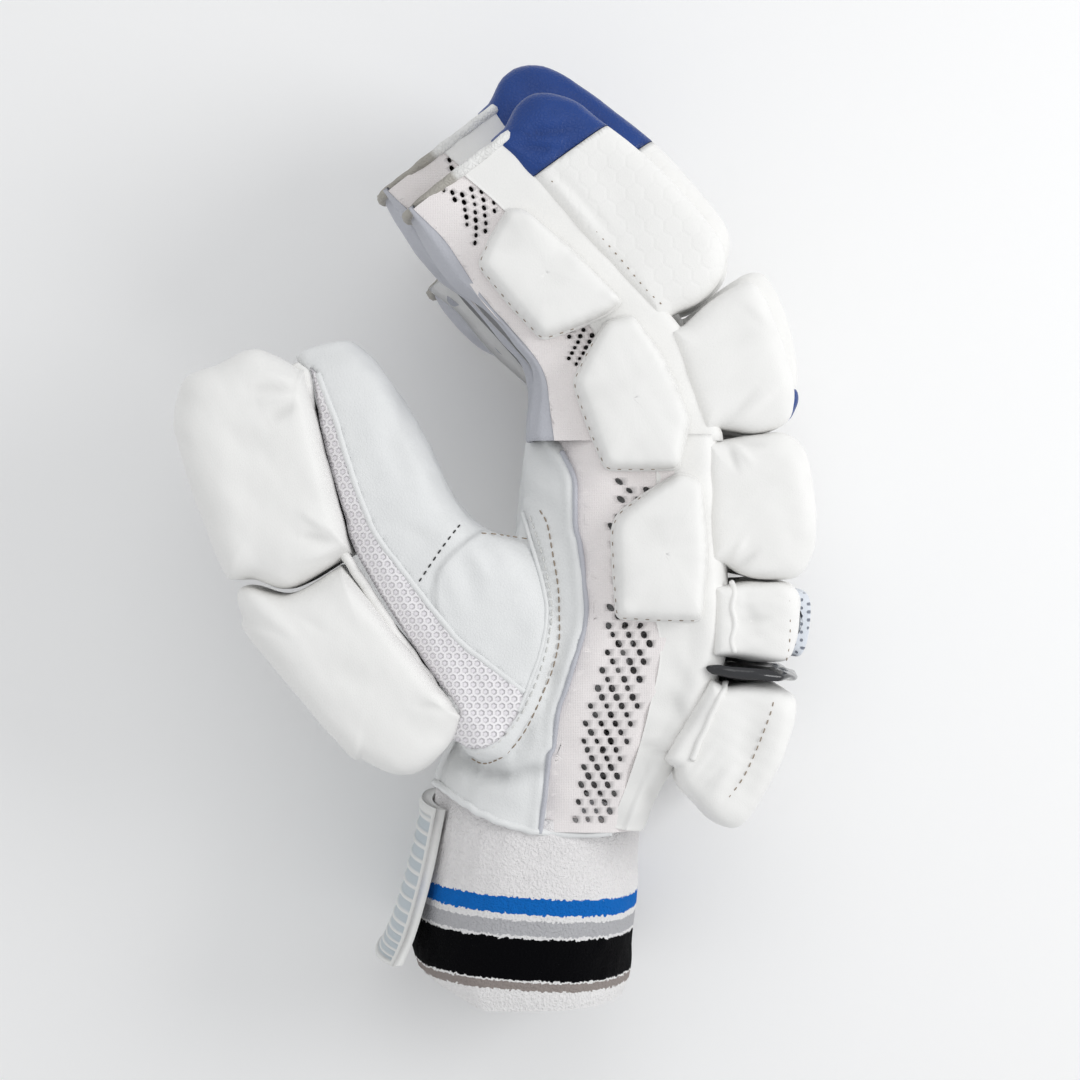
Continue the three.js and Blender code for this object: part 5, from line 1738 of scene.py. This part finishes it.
def cuff_point(sections, angle, inset):
    """A rounded oval section, flattened where it lies on the floor."""
    def rounded(value):
        return np.sign(value) * np.abs(value) ** 0.82
    points = section_points(sections, 0.5 - rounded(np.cos(angle)) / 2, rounded(np.sin(angle)), inset)
    points[..., 2] = np.maximum(points[..., 2], max(inset, 0))
    return points


STRIPE_LIFT = {"left": 5.5, "right": 1}
CORNER_LIFT = 9


def cuff_lift(points):
    """How much higher the stripes lie than straight rings, more towards the thumb's side."""
    return np.interp(points[..., 0], (-26, 42), (STRIPE_LIFT["left"], STRIPE_LIFT["right"]))


def add_cuff():
    sections = cuff_sections(90)
    angle = np.linspace(0, 2 * math.pi, 200, endpoint=False)[None] + np.zeros((len(sections), 1))
    outer = cuff_point(sections, angle, 0)
    normal = outward_normals(outer, ringed=True)
    height = 0.45 * wander(outer, 24, 8) + 0.2 * wander(outer, 8, 9)
    corner = (1 - smoothstep(-143, -108, outer[..., 1])) * (1 - smoothstep(-26, 0, outer[..., 0]))
    skin = outer + normal * height[..., None]
    skin[..., 1] += CORNER_LIFT * corner
    skin[..., 2] = np.maximum(skin[..., 2], 0)
    inner = outer - normal * CUFF_WALL
    inner[..., 1] += CORNER_LIFT * corner
    points, faces = wall_form(skin, inner, ringed=True)
    along = (points[:, 1] - cuff_lift(points) - CUFF_RAMP_START) / CUFF_RAMP_LENGTH
    piece = add_mesh("wrist_cuff", points, faces, MATERIALS["cuff"], {"along": along})
    finish_piece(piece, "cuff_knit", "wrist_cuff")


TAB = [(0.06, 0.4), (0.35, 1.5), (0.62, 4), (0.84, 7.5)]
TAB_REACH = (-0.75, 0.63)
TAB_WIDTH = 60
TAB_LENGTH = 50
RIB_PITCH = 3.5


def add_tab():
    """The strap's moulded end: a curved plate with a raised rim and ribbed windows, standing off the cuff."""
    rows, columns = 150, 60
    along = spline(np.array(TAB), rows)
    sections = cuff_sections(401)
    pick = along[:, 0] * (len(CUFF) - 2) / (len(CUFF) - 1) * 400
    here = sections[np.clip(pick.astype(int), 0, 400)]
    angle = np.linspace(*TAB_REACH, columns)[None] + np.zeros((rows, 1))

    def grid(rise):
        out = []
        for section, stand in zip(here, along[:, 1]):
            out.append(cuff_point(section[None], angle[:1], -(2 * CLEARANCE + stand + rise))[0])
        return np.array(out)

    outer, inner = grid(TAB_THICKNESS), grid(0)
    normal = outer - inner
    normal /= np.linalg.norm(normal, axis=-1, keepdims=True)
    u = np.linspace(0, 1, columns)[None]
    v = np.linspace(0, 1, rows)[:, None]
    edge = np.minimum(np.minimum(u, 1 - u) * TAB_WIDTH, np.minimum(v, 1 - v) * TAB_LENGTH)
    rim = smoothstep(0.3, 1.2, edge) * (1 - smoothstep(1.8, 2.4, edge))
    window = smoothstep(2.4, 2.9, edge)
    ribs = window * smoothstep(0.45, 0.8, np.cos(v * TAB_LENGTH / RIB_PITCH * 2 * math.pi))
    height = 0.4 * rim - 0.6 * window + 0.5 * ribs
    outer = outer + normal * height[..., None]
    points, faces = wall_form(outer, inner)
    mask = np.concatenate([(window - ribs).ravel(), np.zeros(window.size)])
    shade = np.concatenate([0.4 * np.exp(-((edge - 2.5) / 0.25) ** 2).ravel(), np.zeros(window.size)])
    piece = add_mesh("wrist_tab", points, faces, MATERIALS["rubber"], {"window": mask, "shade": shade})
    finish_piece(piece, "strap_rubber", "wrist_tab")


# Folds of the leather on the back of the hand, in the photograph's pixels
BACK_FOLDS = [
    (642, 736, 686, 750, 1.6, 0.9), (640, 745, 684, 756, 1.4, -0.9), (646, 770, 676, 764, 6, 1.2),
    (614, 617, 701, 621, 1.4, 0.6), (676, 650, 700, 690, 2.0, 0.6), (668, 690, 690, 730, 1.8, -0.6),
]


# The least share of the hand's depth at which the back's leather begins on the index side
BACK_FROM = 0.7


def add_hand(level):
    sections = tube_sections(None, 80)
    add_knit("hand_index_gusset", hand_knit(level), 7, 46, pierced_here)
    add_knit("hand_little_gusset", tube_knit(sections, -1), 7, 40, pierced_here)
    high_edge = np.maximum(sections[:, 7], BACK_FROM)
    sheet = np.column_stack([sections, high_edge])
    add_wall_piece("hand_back_leather", back_grid(sheet, -0.9, 100, 8, 7, overlap=2.5), LEATHER,
                   MATERIALS["white"], "white_leather", ["hand_back_leather"],
                   folds=seen_table(BACK_FOLDS, GUSSET_LEVEL), ripple=0.35, seed=31)


def add_floor():
    """A wide pale floor under the glove."""
    reach = 1500
    points = [(-reach, -reach, -0.05), (reach, -reach, -0.05), (reach, reach, -0.05),
              (-reach, reach, -0.05)]
    material, _, shader = node_tree("studio_floor")
    shader.inputs["Base Color"].default_value = (0.97, 0.97, 0.97, 1)
    shader.inputs["Roughness"].default_value = 0.9
    floor = add_mesh("floor", points, [[0, 1, 2, 3]], material, lowest=-1)


add_camera()
add_studio()
add_floor()
for finger_name in FINGERS:
    add_stall(finger_name)
    add_back_pads(finger_name)
hand_level, palm_surface = add_palm()
add_hand(hand_level)
add_hand_pads()
add_side_pads()
add_thumb_pads()
add_binding(palm_surface)
add_cuff()
add_tab()
